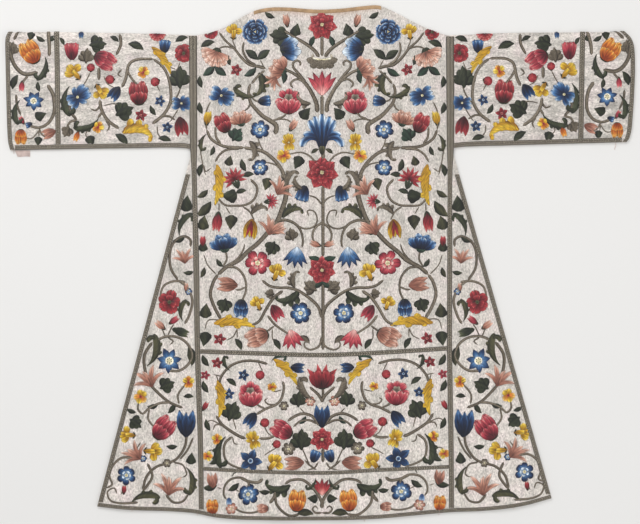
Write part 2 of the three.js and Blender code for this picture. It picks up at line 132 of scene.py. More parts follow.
# Creases placed on the ripples, in the same columns; a trough has a negative height
CREASES = [
    (-232, 330, 86, 90, 9, 0.9), (-196, 250, 94, 120, 12, -0.7), (-150, 60, 89, 150, 10, 0.8),
    (-118, 300, 84, 80, 9, 0.6), (-88, 170, 92, 110, 13, -0.6), (-40, 440, 78, 60, 9, 0.7),
    (-20, 120, 91, 130, 10, 0.6), (30, -70, 87, 120, 12, 0.8), (64, 260, 95, 110, 9, -0.7),
    (110, 50, 88, 140, 11, 0.8), (140, 330, 98, 90, 9, 0.6), (188, 230, 85, 120, 12, 0.8),
    (232, 20, 91, 150, 10, 0.9), (212, 420, 60, 50, 9, 0.7), (-236, -60, 91, 130, 10, 0.8),
    (-180, -120, 87, 60, 10, 0.8), (150, -140, 93, 60, 10, -0.8), (-222, -300, 88, 80, 9, 0.9),
    (-128, -330, 92, 90, 11, 0.7), (-52, -300, 86, 70, 9, 0.7), (22, -360, 91, 80, 10, -0.6),
    (96, -290, 94, 90, 10, 0.8), (206, -310, 88, 90, 9, 0.8), (-160, -485, 90, 45, 9, 0.8),
    (-20, -490, 88, 45, 9, 0.7), (120, -485, 92, 45, 10, 0.8), (226, -470, 93, 50, 9, 0.7),
    (-300, -60, 78, 130, 9, 0.8), (-330, -250, 72, 110, 10, -0.8), (-400, -440, 76, 80, 10, 0.9),
    (-310, -390, 86, 100, 9, 0.8), (296, -110, 98, 130, 9, 0.8), (340, -290, 106, 110, 10, 0.9),
    (420, -430, 103, 80, 10, 0.8), (310, -430, 96, 90, 9, -0.7), (-350, 300, 4, 60, 9, 0.8),
    (-470, 410, 176, 70, 10, 0.9), (-520, 290, 3, 60, 9, 0.7), (-612, 390, 92, 70, 9, 0.8),
    (-600, 290, 84, 50, 9, 0.6), (350, 420, 2, 60, 9, 0.7), (480, 290, 174, 70, 10, 0.9),
    (520, 400, 6, 60, 9, 0.8), (600, 300, 86, 60, 9, 0.8), (-330, 440, 170, 50, 9, 0.6),
    (404, 300, 8, 60, 9, 0.6),
]


def mix(a, b, t):
    return a + (b - a) * t


def curve(rows, column, along=0):
    """A smooth curve through one column of a table, as a function of another column."""
    at = np.array([row[along] for row in rows], float)
    to = np.array([row[column] for row in rows], float)
    spot, last = np.arange(len(at)), len(at) - 1
    before, after = np.maximum(spot - 1, 0), np.minimum(spot + 1, last)
    slope = (to[after] - to[before]) / (at[after] - at[before])

    def value(x):
        x = np.asarray(x, float)
        i = np.clip(np.searchsorted(at, x) - 1, 0, last - 1)
        span = at[i + 1] - at[i]
        t = np.clip((x - at[i]) / span, 0, 1)
        return (
            (2 * t**3 - 3 * t**2 + 1) * to[i]
            + (t**3 - 2 * t**2 + t) * span * slope[i]
            + (3 * t**2 - 2 * t**3) * to[i + 1]
            + (t**3 - t**2) * span * slope[i + 1]
        )

    return value


left_out, left_in, right_in, right_out = (curve(BANDS, column) for column in (1, 2, 3, 4))
top_edge, hem, waist, border = (curve(rows, 1) for rows in (TOP, HEM, WAIST, BORDER))
sleeve_foot, sleeve_top, sleeve_open = (
    {side: curve(rows, column) for side, rows in SLEEVES.items()} for column in (1, 2, 3)
)
cuff_edge = {side: curve(rows, 1) for side, rows in CUFF_EDGES.items()}


def left_seam(y):
    return (left_out(y) + left_in(y)) / 2


def right_seam(y):
    return (right_out(y) + right_in(y)) / 2


def cuff_seam(side):
    foot, head = CUFF_SEAMS[side]
    return lambda y: mix(foot, head, np.clip((np.asarray(y, float) - 240) / (485 - 240), 0, 1))


def gore_edge(side):
    top_x, top_y, foot_x, foot_y = GORES[side]
    return lambda y: mix(foot_x, top_x, (np.asarray(y, float) - foot_y) / (top_y - foot_y))


def moved(edge, by):
    return lambda at: edge(at) + by


def constant(value):
    return lambda at: np.full(np.shape(at), float(value))


def waves(rows, x, y):
    """Height of the ripples or creases of a table at a place."""
    height = np.zeros(np.broadcast(x, y).shape)
    for cx, cy, turn, length, width, rise in rows:
        c, s = math.cos(math.radians(turn)), math.sin(math.radians(turn))
        along = ((x - cx) * c + (y - cy) * s) / length
        across = ((y - cy) * c - (x - cx) * s) / width
        height += rise * np.exp(-(along**2) - across**2)
    return height


def fold_rise(x, y):
    """How far a sleeve's upper layer is lifted by the fold along its top."""
    rise = np.zeros(np.broadcast(x, y).shape)
    for side, sleeve in (("left", x < left_seam(y)), ("right", x > right_seam(y))):
        t = np.clip(1 - (sleeve_top[side](x) - y) / FOLD_REACH, 0, 1)
        rise = np.where(sleeve & (y > 200), sleeve_open[side](x) * t**2 * (3 - 2 * t), rise)
    return rise


def face(x, y):
    """Height of the back layer's upper face, in millimetres."""
    x, y = np.asarray(x, float), np.asarray(y, float)
    form = waves(RIPPLES, x, y) + waves(CREASES, x, y)
    return 2 * CLOTH + LAY + np.maximum(form, -0.2) + fold_rise(x, y)


def fold_of(side, x):
    """Radius of the fold at the top of a sleeve and the y of its centre."""
    radius = face(x, sleeve_top[side](x) - 2 * CLOTH) / 2
    return radius, sleeve_top[side](x) - radius


def lay(x, y, lift, side=None):
    """A place on the garment, lifted off its cloth. Past a sleeve's top it goes on round the fold."""
    x, y, lift = np.broadcast_arrays(*(np.asarray(value, float) for value in (x, y, lift)))
    z = face(x, y) + lift
    if side is None:
        return np.stack([x, y, z], -1)
    radius, centre = fold_of(side, x)
    angle = np.clip((y - centre) / radius, 0, FOLD_TURN * math.pi)
    over = y > centre
    reach = radius + lift
    z = np.where(over, radius + reach * np.cos(angle), z)
    return np.stack([x, np.where(over, centre + reach * np.sin(angle), y), z], -1)


# Areas that are embroidered. Those in the middle are worked in one piece, the others left and right.
MIDDLE_AREAS, SLEEVE_AREAS = ("back_panel", "apparel", "border"), ("sleeve", "cuff")
# How far each braid covers the cloth beside it, where the embroidery stops
COVER = {"waist": 4.5, "border": 3.8, "hem": 8, "gore": 9.5, "cuff": 9, "cuff_seam": 5.3, "foot": 10}
PAST_FOLD = 491  # y beyond every sleeve's fold, which the work goes round


def area_edges(area, side):
    """The left, right, lower and upper edge at which an area's embroidery stops."""
    ends = {
        "back_panel": (moved(waist, COVER["waist"]), moved(top_edge, -1)),
        "apparel": (moved(border, COVER["border"]), moved(waist, -COVER["waist"])),
        "border": (moved(hem, COVER["hem"]), moved(border, -COVER["border"])),
    }
    if area in MIDDLE_AREAS:
        return left_in, right_in, *ends[area]
    way = 1 if side == "left" else -1
    inner = left_out if side == "left" else right_out
    if area == "gore":
        outer = moved(gore_edge(side), way * COVER["gore"])
        return *(outer, inner)[::way], moved(hem, COVER["hem"]), constant(GORES[side][1])
    outer = moved(cuff_seam(side), way * COVER["cuff_seam"])
    if area == "cuff":
        outer = moved(cuff_edge[side], way * COVER["cuff"])
        inner = moved(cuff_seam(side), -way * COVER["cuff_seam"])
    return *(outer, inner)[::way], moved(sleeve_foot[side], COVER["foot"]), constant(PAST_FOLD)


# ---- Meshes ----
SMOOTH_UP_TO = math.radians(50)  # a sharper edge than this stays sharp
MAP_MARGIN = 0.004


def new_piece(name, points, faces, finish_now, slot, colours=None, threads=None):
    """A mesh piece from points in millimetres that rides on the garment's one body."""
    mesh = bpy.data.meshes.new(name)
    mesh.from_pydata((np.asarray(points) * MM).tolist(), [], np.asarray(faces).tolist())
    mesh.validate()
    piece = bpy.data.objects.new(name, mesh)
    bpy.context.scene.collection.objects.link(piece)
    mesh.materials.append(finish_now)
    if colours is not None:
        layer = mesh.color_attributes.new("silk", "FLOAT_COLOR", "POINT")
        rgba = np.ones((len(points), 4), np.float32)
        rgba[:, :3] = colours
        layer.data.foreach_set("color", rgba.ravel())
    if threads is not None:
        layer = mesh.attributes.new("thread", "FLOAT_VECTOR", "POINT")
        layer.data.foreach_set("vector", np.asarray(threads, np.float32).ravel())
    mesh.shade_smooth()
    mesh.set_sharp_from_angle(angle=SMOOTH_UP_TO)
    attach(piece, "root")
    return piece


def plan_map(mesh):
    """A map seen from above, named OFBake. Faces that look down get the other half of it."""
    corners = np.empty(len(mesh.loops), np.int32)
    mesh.loops.foreach_get("vertex_index", corners)
    places = np.empty(len(mesh.vertices) * 3, np.float32)
    mesh.vertices.foreach_get("co", places)
    plan = places.reshape(-1, 3)[corners][:, :2]
    span = plan.max(0) - plan.min(0)
    spot = MAP_MARGIN + (1 - 2 * MAP_MARGIN) * (plan - plan.min(0)) / span.max()
    normals = np.empty(len(mesh.polygons) * 3, np.float32)
    mesh.polygons.foreach_get("normal", normals)
    sizes = np.empty(len(mesh.polygons), np.int32)
    mesh.polygons.foreach_get("loop_total", sizes)
    down = np.repeat(normals.reshape(-1, 3)[:, 2] < -0.05, sizes)
    if down.any():
        narrow = int(np.argmin(span))
        if span[narrow] > span.max() / 2:
            spot[:, narrow] /= 2
        spot[down, narrow] += 0.5
    layer = mesh.uv_layers.new(name="OFBake")
    layer.data.foreach_set("uv", np.clip(spot, 0, 1).astype(np.float32).ravel())


def wall(outer, inner):
    """Points and faces of a closed wall between two grids of points."""
    rows, columns = outer.shape[0] - 1, outer.shape[1] - 1
    top = np.arange((rows + 1) * (columns + 1)).reshape(rows + 1, columns + 1)
    under = top + top.size

    def quads(a, b, c, d):
        return np.stack([a.ravel(), b.ravel(), c.ravel(), d.ravel()], -1)

    faces = [
        quads(top[:-1, :-1], top[:-1, 1:], top[1:, 1:], top[1:, :-1]),
        quads(under[:-1, :-1], under[1:, :-1], under[1:, 1:], under[:-1, 1:]),
        quads(top[0, 1:], top[0, :-1], under[0, :-1], under[0, 1:]),
        quads(top[-1, :-1], top[-1, 1:], under[-1, 1:], under[-1, :-1]),
        quads(top[:-1, 0], top[1:, 0], under[1:, 0], under[:-1, 0]),
        quads(top[1:, -1], top[:-1, -1], under[:-1, -1], under[1:, -1]),
    ]
    return np.concatenate([outer.reshape(-1, 3), inner.reshape(-1, 3)]), np.concatenate(faces)


def panel_plan(left, right, bottom, top, cell):
    """A grid of x and y inside four edges: left and right by y, bottom and top by x."""
    middle = float(mix(left(0.0), right(0.0), 0.5))
    high, low = float(top(middle)), float(bottom(middle))
    rows = max(2, round((high - low) / cell))
    wide = max(abs(float(right(level) - left(level))) for level in (high, low))
    columns = max(2, round(wide / cell))
    u, v = np.linspace(0, 1, columns + 1)[None, :], np.linspace(0, 1, rows + 1)[:, None]
    y = mix(low, high, v) + 0 * u
    x = mix(left(y), right(y), u)
    for _ in range(5):
        y = mix(bottom(x), top(x), v)
        x = mix(left(y), right(y), u)
    return x, y


def plan_area(x, y):
    """Area of a grid laid flat, in square metres."""
    ax, ay = x[1:, 1:] - x[:-1, :-1], y[1:, 1:] - y[:-1, :-1]
    bx, by = x[1:, :-1] - x[:-1, 1:], y[1:, :-1] - y[:-1, 1:]
    return float(np.abs(ax * by - ay * bx).sum() / 2) * MM * MM


# ---- Colours ----
def linear(code):
    """Linear colour of an sRGB hex value."""
    values = [int(code[i : i + 2], 16) / 255 for i in (1, 3, 5)]
    return [v / 12.92 if v <= 0.04045 else ((v + 0.055) / 1.055) ** 2.4 for v in values]


# Silks as shaded by the needle, from the heart of a petal to its rim
SILKS = {
    "red": ("#3a0a10", "#841f29", "#b03c40", "#e2aa9e"),
    "rose": ("#4f0f1c", "#9c2c3c", "#c4565c", "#ecbdb4"),
    "blue": ("#060d22", "#16315a", "#4573a3", "#dbe6ed"),
    "skyblue": ("#27426b", "#6384ad", "#a5b9cf", "#e9edee"),
    "yellow": ("#7a500c", "#b88a1a", "#d9b636", "#efdc84"),
    "orange": ("#86320f", "#c26822", "#db9a3c", "#f1d88c"),
    "salmon": ("#75473a", "#ad7663", "#cc9f8b", "#ecd8cb"),
    "green": ("#10130b", "#222718", "#434832", "#868863"),
    "bluegreen": ("#0c1610", "#1b2c21", "#3a5341", "#7f9379"),
    "olive": ("#191a0e", "#313120", "#575437", "#8f875d"),
    "silver": ("#38312a", "#5c5347", "#807566", "#b9ae9c"),
    "pale": ("#857a58", "#bdb083", "#e0d6b2", "#f6f1df"),
}
SHADES = {name: np.array([linear(code) for code in codes]) for name, codes in SILKS.items()}


def shade(silk, tone):
    """Colour of a silk at a tone from 0, its heart, to 1, its rim."""
    stops = np.linspace(0, 1, 4)
    tone = np.clip(tone, 0, 1)
    return np.stack([np.interp(tone, stops, SHADES[silk][:, c]) for c in range(3)], -1)


# ---- Needlework ----
# Outlines of petals and leaves: shares of the length, half widths there
SHAPES = {
    "round": ((0, 0.15, 0.4, 0.62, 0.8, 0.93, 1), (0.25, 0.6, 0.92, 1, 0.9, 0.58, 0.14)),
    "pointed": ((0, 0.2, 0.4, 0.6, 0.8, 0.93, 1), (0.3, 0.78, 1, 0.88, 0.5, 0.2, 0.03)),
    "flare": ((0, 0.3, 0.6, 0.85, 1), (0.2, 0.42, 0.78, 1, 0.92)),
    "tube": ((0, 0.12, 0.4, 0.7, 1), (0.35, 0.75, 1, 0.98, 0.86)),
    "heart": ((0, 0.06, 0.2, 0.4, 0.65, 0.85, 1), (0.3, 0.75, 1, 0.95, 0.6, 0.25, 0.03)),
    "leaf": ((0, 0.15, 0.35, 0.5, 0.7, 0.88, 1), (0.1, 0.52, 0.92, 1, 0.76, 0.36, 0.03)),
    "frond": ((0, 0.1, 0.25, 0.5, 0.75, 0.92, 1), (0.2, 0.6, 0.96, 0.9, 0.6, 0.34, 0.1)),
    "horn": ((0, 0.15, 0.35, 0.58, 0.8, 0.93, 1), (0.08, 0.3, 0.72, 1, 0.9, 0.6, 0.25)),
    "finger": ((0, 0.3, 0.6, 0.82, 0.94, 1), (0.3, 0.5, 0.8, 1, 0.84, 0.4)),
    "long": ((0, 0.1, 0.3, 0.55, 0.8, 0.93, 1), (0.25, 0.7, 1, 0.9, 0.8, 0.4, 0.05)),
}
STEM_WIDTH = 1.38  # of the whole stem, by its charted width, which is that of the couched core
STEM_LIFT, STEM_DOME = 0.15, 1.2  # millimetres over the cloth at a stem's edge, and more at its middle
STEM_POINT = 3.5  # millimetres over which a stem's end tapers
STEM_STEP = 4.0  # millimetres between the rows of a stem's mesh


class Needlework:
    """Raised patches of embroidery, gathered motif by motif and then laid on one area's cloth. Places,
    lengths and widths are shares of the motif's size, and lift and dome are in millimetres. A place is
    (right, along), or a number for one on the motif's middle line."""

    def __init__(self, seed):
        self.patches, self.count = [], 0
        self.chance = np.random.default_rng(seed)

    def place(self, x=0.0, y=0.0, turn=90.0, flip=1, size=1.0, silk="silver"):
        """Where the next motif grows: its middle, its direction from +X and its handedness."""
        self.at, self.turn, self.flip = (x, y), math.radians(turn), flip
        self.size, self.silk = size, silk

    def spot(self, place):
        """A place in the motif, in millimetres."""
        right, along = place if isinstance(place, tuple) else (0.0, place)
        return right * self.size, along * self.size

    def patch(self, u, v, lift, colour, across, along):
        """u runs to the right of the motif's own direction and v along it, in millimetres."""
        c, s = math.cos(self.turn), math.sin(self.turn)
        right = u * self.flip
        x, y = self.at[0] + v * c + right * s, self.at[1] + v * s - right * c
        plan = np.stack([x.ravel(), y.ravel()], -1)
        i = np.arange(lift.size).reshape(lift.shape) + self.count
        quads = np.stack([i[:-1, :-1], i[:-1, 1:], i[1:, 1:], i[1:, :-1]], -1).reshape(-1, 4)
        if self.flip < 0:
            quads = quads[:, ::-1]
        seed = np.full(lift.shape, self.chance.uniform(0, 100))
        threads = np.stack([part.ravel() for part in np.broadcast_arrays(across, along, seed)], -1)
        self.patches.append((plan, lift.ravel(), colour.reshape(-1, 3), threads, quads))
        self.count += lift.size

    def petal(
        self, foot, turn, length, width, shape="round", bend=0.0, lift=0.3, dome=1.0, tone=(0.0, 0.5),
        rim=0.55, tip=0.35, notch=0.0, teeth=0.0, lobes=(0, 0.0), grid=(8, 7), slant=0.0, vein=0.0,
        lit=0.0, silk=None,
    ):
        """A petal or leaf from its foot. turn and bend are degrees to the right of the motif. tone is
        the shade at the foot and the tip, and rim, tip, vein and lit add to it there or on one side."""
        length, width = length * self.size, width * self.size
        t = np.sin(np.linspace(0, math.pi / 2, grid[0]))[:, None]  # rows lie closer at the rim
        s = np.sin(np.linspace(-math.pi / 2, math.pi / 2, grid[1]))[None, :]
        cut = notch * np.exp(-((s / 0.35) ** 2)) + teeth * np.abs(np.mod(s * 2.5 + 0.5, 1) - 0.5) * 2
        along = t * (1 - cut)
        half = width / 2 * np.interp(t, *SHAPES[shape])
        count, depth = lobes
        if count:
            half = half * (1 + depth * (np.abs(np.sin(math.pi * count * t)) - 0.6))
        reach = s * half
        start, full = math.radians(turn), math.radians(bend) if abs(bend) > 1 else 1e-3
        heading = start + math.radians(bend) * along
        right, ahead = self.spot(foot)
        u = right + length / full * (np.cos(start) - np.cos(start + full * along)) + reach * np.cos(heading)
        v = ahead + length / full * (np.sin(start + full * along) - np.sin(start)) - reach * np.sin(heading)
        crown = (1 - np.abs(s) ** 2.4) * (1 - 0.75 * np.abs(2 * t - 1) ** 4)
        value = mix(*tone, along) + rim * np.abs(s) ** 2.2 * (0.2 + 0.8 * t) + tip * t**4
        value = value + vein * np.exp(-((s / 0.2) ** 2)) * (1 - t) + lit * s
        value = value - np.maximum(np.abs(s) ** 16, t**40)  # the last row of stitches is dark
        value = value + self.chance.uniform(-0.05, 0.05)
        self.patch(
            u, v, lift + dome * crown, shade(silk or self.silk, value),
            reach + slant * along * length, along * length - slant * np.abs(reach),
        )

    def ring(self, count, start, length, width, lift, first=0.0, **style):
        """count petals round the motif's middle, each starting a little way out from it."""
        for k in range(count):
            turn = first + 360 * k / count + self.chance.uniform(-5, 5)
            foot = start * math.sin(math.radians(turn)), start * math.cos(math.radians(turn))
            long, wide = self.chance.uniform(0.9, 1.08, 2)
            self.petal(foot, turn, long * length, wide * width, lift=lift + 0.05 * (k % 2), **style)

    def fan(self, turns, foot, length, width, lift, bend=0.0, **style):
        """Petals that spread from one foot. bend curls each outwards by its share of the widest turn."""
        widest = max(abs(turn) for turn in turns) or 1
        for turn in turns:
            self.petal(foot, turn, length, width, lift=lift, bend=bend * turn / widest, **style)

    def calyx(self, share=1.0, turns=(-50, -15, 20, 55), silk="green"):
        """The green cup under a flower, which is this share of the motif's size."""
        self.fan(turns, -0.52 * share, 0.3 * share, 0.13 * share, 0.5, shape="pointed", tone=(0.2, 0.5),
                 tip=0.0, grid=(6, 5), silk=silk)

    def blob(self, centre, radius, lift, dome=0.5, tone=(0.2, 0.7), spokes=16, silk=None):
        """A round patch worked outwards from its centre."""
        radius = radius * self.size
        t = np.linspace(0.04, 1, 5)[:, None]
        angle = -np.linspace(0, 2 * math.pi, spokes + 1)[None, :]
        right, ahead = self.spot(centre)
        u, v = right + radius * t * np.cos(angle), ahead + radius * t * np.sin(angle)
        value = mix(*tone, t) + 0 * angle
        crown = (1 - t**2.5) + 0 * angle
        self.patch(
            u, v, lift + dome * crown, shade(silk or self.silk, value), angle * radius * 0.7, radius * t
        )

    def stem(self, points, start, end):
        """A couched stem through points on the cloth, tapering to round ends."""
        points = np.asarray(points, float)
        ends = np.concatenate([[2 * points[0] - points[1]], points, [2 * points[-1] - points[-2]]])
        path = []
        for a, b, c, d in zip(ends, ends[1:], ends[2:], ends[3:]):
            steps = max(2, int(np.hypot(*(c - b)) / STEM_STEP))
            for t in np.arange(steps) / steps:
                path.append(
                    0.5 * (2 * b + (c - a) * t + (2 * a - 5 * b + 4 * c - d) * t**2
                           + (3 * b - a - 3 * c + d) * t**3)
                )
        path = np.array([*path, points[-1]])
        step = np.gradient(path, axis=0)
        step /= np.maximum(np.hypot(step[:, 0], step[:, 1]), 1e-6)[:, None]
        run = np.concatenate([[0], np.cumsum(np.hypot(*np.diff(path, axis=0).T))])
        taper = np.sqrt(np.clip(np.minimum(run, run[-1] - run) / STEM_POINT, 0.06, 1))
        half = (mix(start, end, run / run[-1]) * STEM_WIDTH / 2 * taper)[:, None]
        s = np.linspace(-1, 1, 6)[None, :]
        x = path[:, :1] + s * half * step[:, 1:]
        y = path[:, 1:] - s * half * step[:, :1]
        crown = np.sqrt(np.clip(1 - s**2, 0, 1)) * np.minimum(half / 2.2, 1)
        # Painted highlight along the middle of the round cord and painted shade towards its edges, deeper
        # on one side
        value = 0.56 - 0.62 * np.abs(s) ** 2.5 - 0.18 * s + self.chance.uniform(-0.1, 0.1) + 0 * half
        self.place()
        self.patch(x, y, STEM_LIFT + STEM_DOME * crown, shade(self.silk, value), s * half, run[:, None])

    def piece(self, name, finish_now, slot, edges, side):
        """The gathered patches as one mesh, cut off at the area's edges and laid on its cloth."""
        plan, lift, colours, threads, quads = (np.concatenate(part) for part in zip(*self.patches))
        x, y = plan[quads].mean(1).T
        left, right, bottom, top = edges
        quads = quads[(x > left(y)) & (x < right(y)) & (y > bottom(x)) & (y < top(x))]
        kept, quads = np.unique(quads, return_inverse=True)
        points = lay(plan[kept, 0], plan[kept, 1], lift[kept], side)
        quads = quads.reshape(-1, 4)
        piece = new_piece(name, points, quads, finish_now, slot, colours[kept], threads[kept])
        plan_map(piece.data)


# ---- Flowers ----
# Each kind of motif is a function that works it, and the chart below calls it by the function's name
POINTED = {"shape": "pointed"}


def rose(work):
    work.ring(7, 0.1, 0.4, 0.37, 0.3, notch=0.1, tone=(0.0, 0.45), **POINTED)
    work.ring(5, 0.06, 0.28, 0.32, 1.0, 30, notch=0.1, tone=(0.0, 0.4))
    work.ring(4, 0.02, 0.18, 0.21, 1.6, 10, tone=(0.0, 0.4))
    work.blob(0, 0.06, 2.2, tone=(0.2, 0.5), silk="pale")


def cabbage(work):
    for count, start, length, lift in ((8, 0.21, 0.29, 0.3), (7, 0.13, 0.24, 0.9), (5, 0.05, 0.21, 1.4)):
        work.ring(count, start, length, 0.18 + 0.72 * start, lift, 20 * count, tone=(-0.2, 0.3), rim=0.5,
                  tip=0.75)
    work.ring(3, 0.01, 0.11, 0.15, 1.9, 5, tone=(0.0, 0.4), tip=0.6)
    work.blob(0, 0.05, 2.3, 0.4, silk="pale")


def star(work):
    work.ring(5, 0.05, 0.45, 0.33, 0.3, tone=(0.05, 0.3), rim=0.6, grid=(7, 5), **POINTED)
    work.blob(0, 0.1, 1.3, tone=(0.0, 1.0), spokes=10)


def star8(work):
    work.ring(7, 0.08, 0.43, 0.28, 0.3, tone=(0.85, 0.1), rim=0.1, tip=0.0, **POINTED)
    work.blob(0, 0.16, 1.2, 0.6, tone=(0.5, 0.95), silk="pale")
    for k in range(6):
        work.blob((0.08 * math.cos(k), 0.08 * math.sin(k)), 0.025, 1.9, 0.3, spokes=6, silk="olive")


def anemone(work):
    work.ring(6, 0.11, 0.39, 0.36, 0.3, notch=0.12, tone=(0.95, 0.0), rim=0.0, tip=0.0)
    work.ring(5, 0.05, 0.2, 0.21, 1.0, 36, tone=(0.5, 1.0), rim=0.1, grid=(6, 5))
    work.blob(0, 0.1, 1.6, tone=(0.2, 0.8), silk="pale")


def poppy(work):
    work.ring(5, 0.05, 0.46, 0.475, 0.3, 20, notch=0.16, tone=(0.0, 0.4), rim=0.4)
    work.ring(3, 0.025, 0.28, 0.33, 1.1, 50, tone=(0.0, 0.4), rim=0.5)
    work.blob(0, 0.08, 1.9, silk="olive")


def pansy(work):
    other = "orange" if work.silk == "yellow" else "yellow"
    work.fan((-150, 150), 0, 0.475, 0.425, 0.3, tone=(0.0, 0.6))
    work.fan((-62, 62), 0, 0.49, 0.45, 0.6, tone=(0.2, 0.7), silk=other)
    work.petal(0.05, 0, 0.45, 0.4, lift=0.9, tone=(0.0, 0.6))
    work.blob(0, 0.1, 1.7, spokes=10, silk="red")


def iris(work):
    """Three standards above, two falls that curl out and a tongue below."""
    foot = -0.08
    work.fan((-122, 122), foot, 0.5, 0.24, 0.3, 70, tone=(0.0, 0.6))
    work.fan((-80, 80), foot, 0.4, 0.22, 0.4, -30, tone=(0.0, 0.6))
    work.fan((-32, 32), foot, 0.54, 0.3, 0.7, -20, notch=0.1)
    work.petal(foot, 0, 0.54, 0.28, lift=1.1)
    work.petal(foot, 180, 0.42, 0.24, lift=1.1, tone=(0.0, 0.7))
    work.blob(-0.06, 0.05, 1.9, spokes=10, silk="pale")


def lotus(work):
    """A full bloom from the side: pointed petals behind, a bowl of broad ones in front."""
    work.calyx()
    foot = -0.46
    work.fan((-11, 11), foot, 0.98, 0.3, 0.3, tone=(-0.1, 0.4), **POINTED)
    work.fan((-30, 30), foot, 0.98, 0.32, 0.6, 16, tone=(-0.1, 0.4), **POINTED)
    work.fan((-62, 62), foot, 0.78, 0.4, 0.9, -66, tone=(-0.1, 0.3))
    work.fan((-22, 22), foot, 0.74, 0.38, 1.3, -12, tone=(-0.1, 0.3))
    work.petal(foot, 0, 0.62, 0.36, lift=1.8, tone=(-0.1, 0.2), rim=0.6)


def bowl(work):
    """A double bloom half from above: petals behind, seeds, and a bowl of petals in front."""
    work.calyx()
    work.ring(8, 0.15, 0.36, 0.31, 0.3, tone=(0.0, 0.55), notch=0.08)
    work.blob(0.11, 0.18, 1.0, tone=(0.1, 0.9), spokes=12, silk="silver")
    foot, rolled = -0.47, {"tone": (0.0, 0.4), "rim": 0.6, "tip": 0.5}
    work.fan((-64, 64), foot, 0.67, 0.3, 1.1, -52, **rolled)
    work.fan((-22, 22), foot, 0.59, 0.32, 1.5, -10, **rolled)
    work.petal(foot, 0, 0.43, 0.33, lift=2.0, **rolled)


def goblet(work):
    """An open tulip, pale at its foot, with pointed petals that fall outwards at their tips."""
    foot, pale_foot = -0.48, {"tone": (1.0, 0.1), "rim": 0.2, "tip": 0.0, **POINTED}
    work.fan((-24, 24), foot, 0.94, 0.3, 0.3, 30, **pale_foot)
    work.fan((-14, 14), foot, 1.0, 0.3, 0.7, 16, **pale_foot)
    work.petal(foot, 0, 1.0, 0.32, lift=1.1, **pale_foot)


def shell(work):
    """A flower that opens like a shell, dark at its foot and pale along its outer edge."""
    foot = -0.42
    work.fan((-56, 56), foot, 0.78, 0.46, 0.3, -36, tone=(-0.3, 0.8), rim=0.2)
    work.fan((-20, 20), foot, 0.88, 0.5, 0.7, tone=(-0.4, 0.85), rim=0.1, tip=0.6)
    work.petal(foot, 0, 0.7, 0.44, lift=1.2, tone=(-0.4, 0.7), rim=0.2)
    work.calyx(0.9, (-40, 0, 40))


def tulip(work):
    foot = -0.48
    work.fan((-14, 14), foot, 0.94, 0.3, 0.3, tone=(-0.2, 0.3), **POINTED)
    work.fan((-32, 32), foot, 0.94, 0.28, 0.7, -34, tone=(-0.2, 0.3), rim=0.6, **POINTED)
    work.petal(foot, 0, 0.84, 0.34, lift=1.2, tone=(-0.1, 0.2), rim=0.7, **POINTED)
    work.calyx(0.8, (-35, 35))


def striped(work):
    """A tulip with a red flame on its petals."""
    tulip(work)
    for turn in (-7, 12):
        work.petal(-0.4, turn, 0.8, 0.15, lift=1.9, tone=(0.1, 0.5), rim=0.2, silk="red", **POINTED)


def peony(work):
    """A double bloom from the side: long folded petals that close over each other."""
    work.calyx(turns=(-60, -20, 20, 60))
    foot, folds = -0.46, {"tone": (-0.15, 0.2), "rim": 0.8, "tip": 0.5}
    work.fan((-13, 13), foot, 0.98, 0.42, 0.3, notch=0.06, **folds)
    work.fan((-52, 52), foot, 0.96, 0.3, 0.7, -80, **folds)
    work.fan((-26, 26), foot, 0.9, 0.28, 1.1, -34, **folds)
    work.petal(foot, 0, 0.84, 0.28, lift=1.5, **folds)
    work.fan((-58, 58), foot, 0.54, 0.28, 1.6, -56, **folds)
    work.fan((-18, 18), foot, 0.52, 0.26, 2.0, -16, **folds)


def cup(work):
    """A globe flower from the side, dark at its heart and pale where the petals roll over."""
    foot = -0.36
    work.fan((-58, -20, 20, 58), foot, 0.76, 0.44, 0.3, tone=(-0.2, 0.4), tip=0.5)
    work.fan((-46, 46), foot, 0.64, 0.42, 0.9, -30, tone=(-0.2, 0.3), rim=0.7)
    work.petal(foot, 0, 0.56, 0.5, lift=1.4, tone=(-0.1, 0.2), rim=0.7, notch=0.1, tip=0.7)
    work.calyx(silk="bluegreen")


def bell(work):
    foot = -0.48
    work.fan((-15, 15), foot, 0.96, 0.46, 0.3, shape="tube", teeth=0.16, tone=(-0.1, 0.4))
    work.petal(foot, 0, 0.92, 0.46, "tube", lift=0.8, teeth=0.2, tone=(-0.2, 0.2), rim=0.8, tip=0.6)
    work.calyx(0.8, (-30, 0, 30))


def carnation(work):
    foot = -0.34
    work.fan((-74, -50, -25, 0, 25, 50, 74), foot, 0.8, 0.36, 0.3, shape="flare", teeth=0.14,
             tone=(0.0, 0.45), tip=0.5)
    work.fan((-54, -18, 18, 54), foot, 0.58, 0.3, 0.9, shape="flare", teeth=0.16, tone=(-0.1, 0.5),
             tip=0.4)
    work.calyx()


def fringe(work):
    """A ragged pink: narrow slit petals round two thirds of a turn, on a green cup."""
    work.fan(range(-112, 113, 28), -0.1, 0.56, 0.17, 0.3, tone=(0.1, 0.5), grid=(7, 5), **POINTED)
    work.fan((-70, -24, 24, 70), -0.1, 0.36, 0.15, 0.9, tone=(-0.1, 0.6), grid=(7, 5), **POINTED)
    work.fan((-22, 0, 22), -0.55, 0.46, 0.15, 1.0, tone=(0.2, 0.5), tip=0.0, grid=(6, 5), silk="green",
             **POINTED)


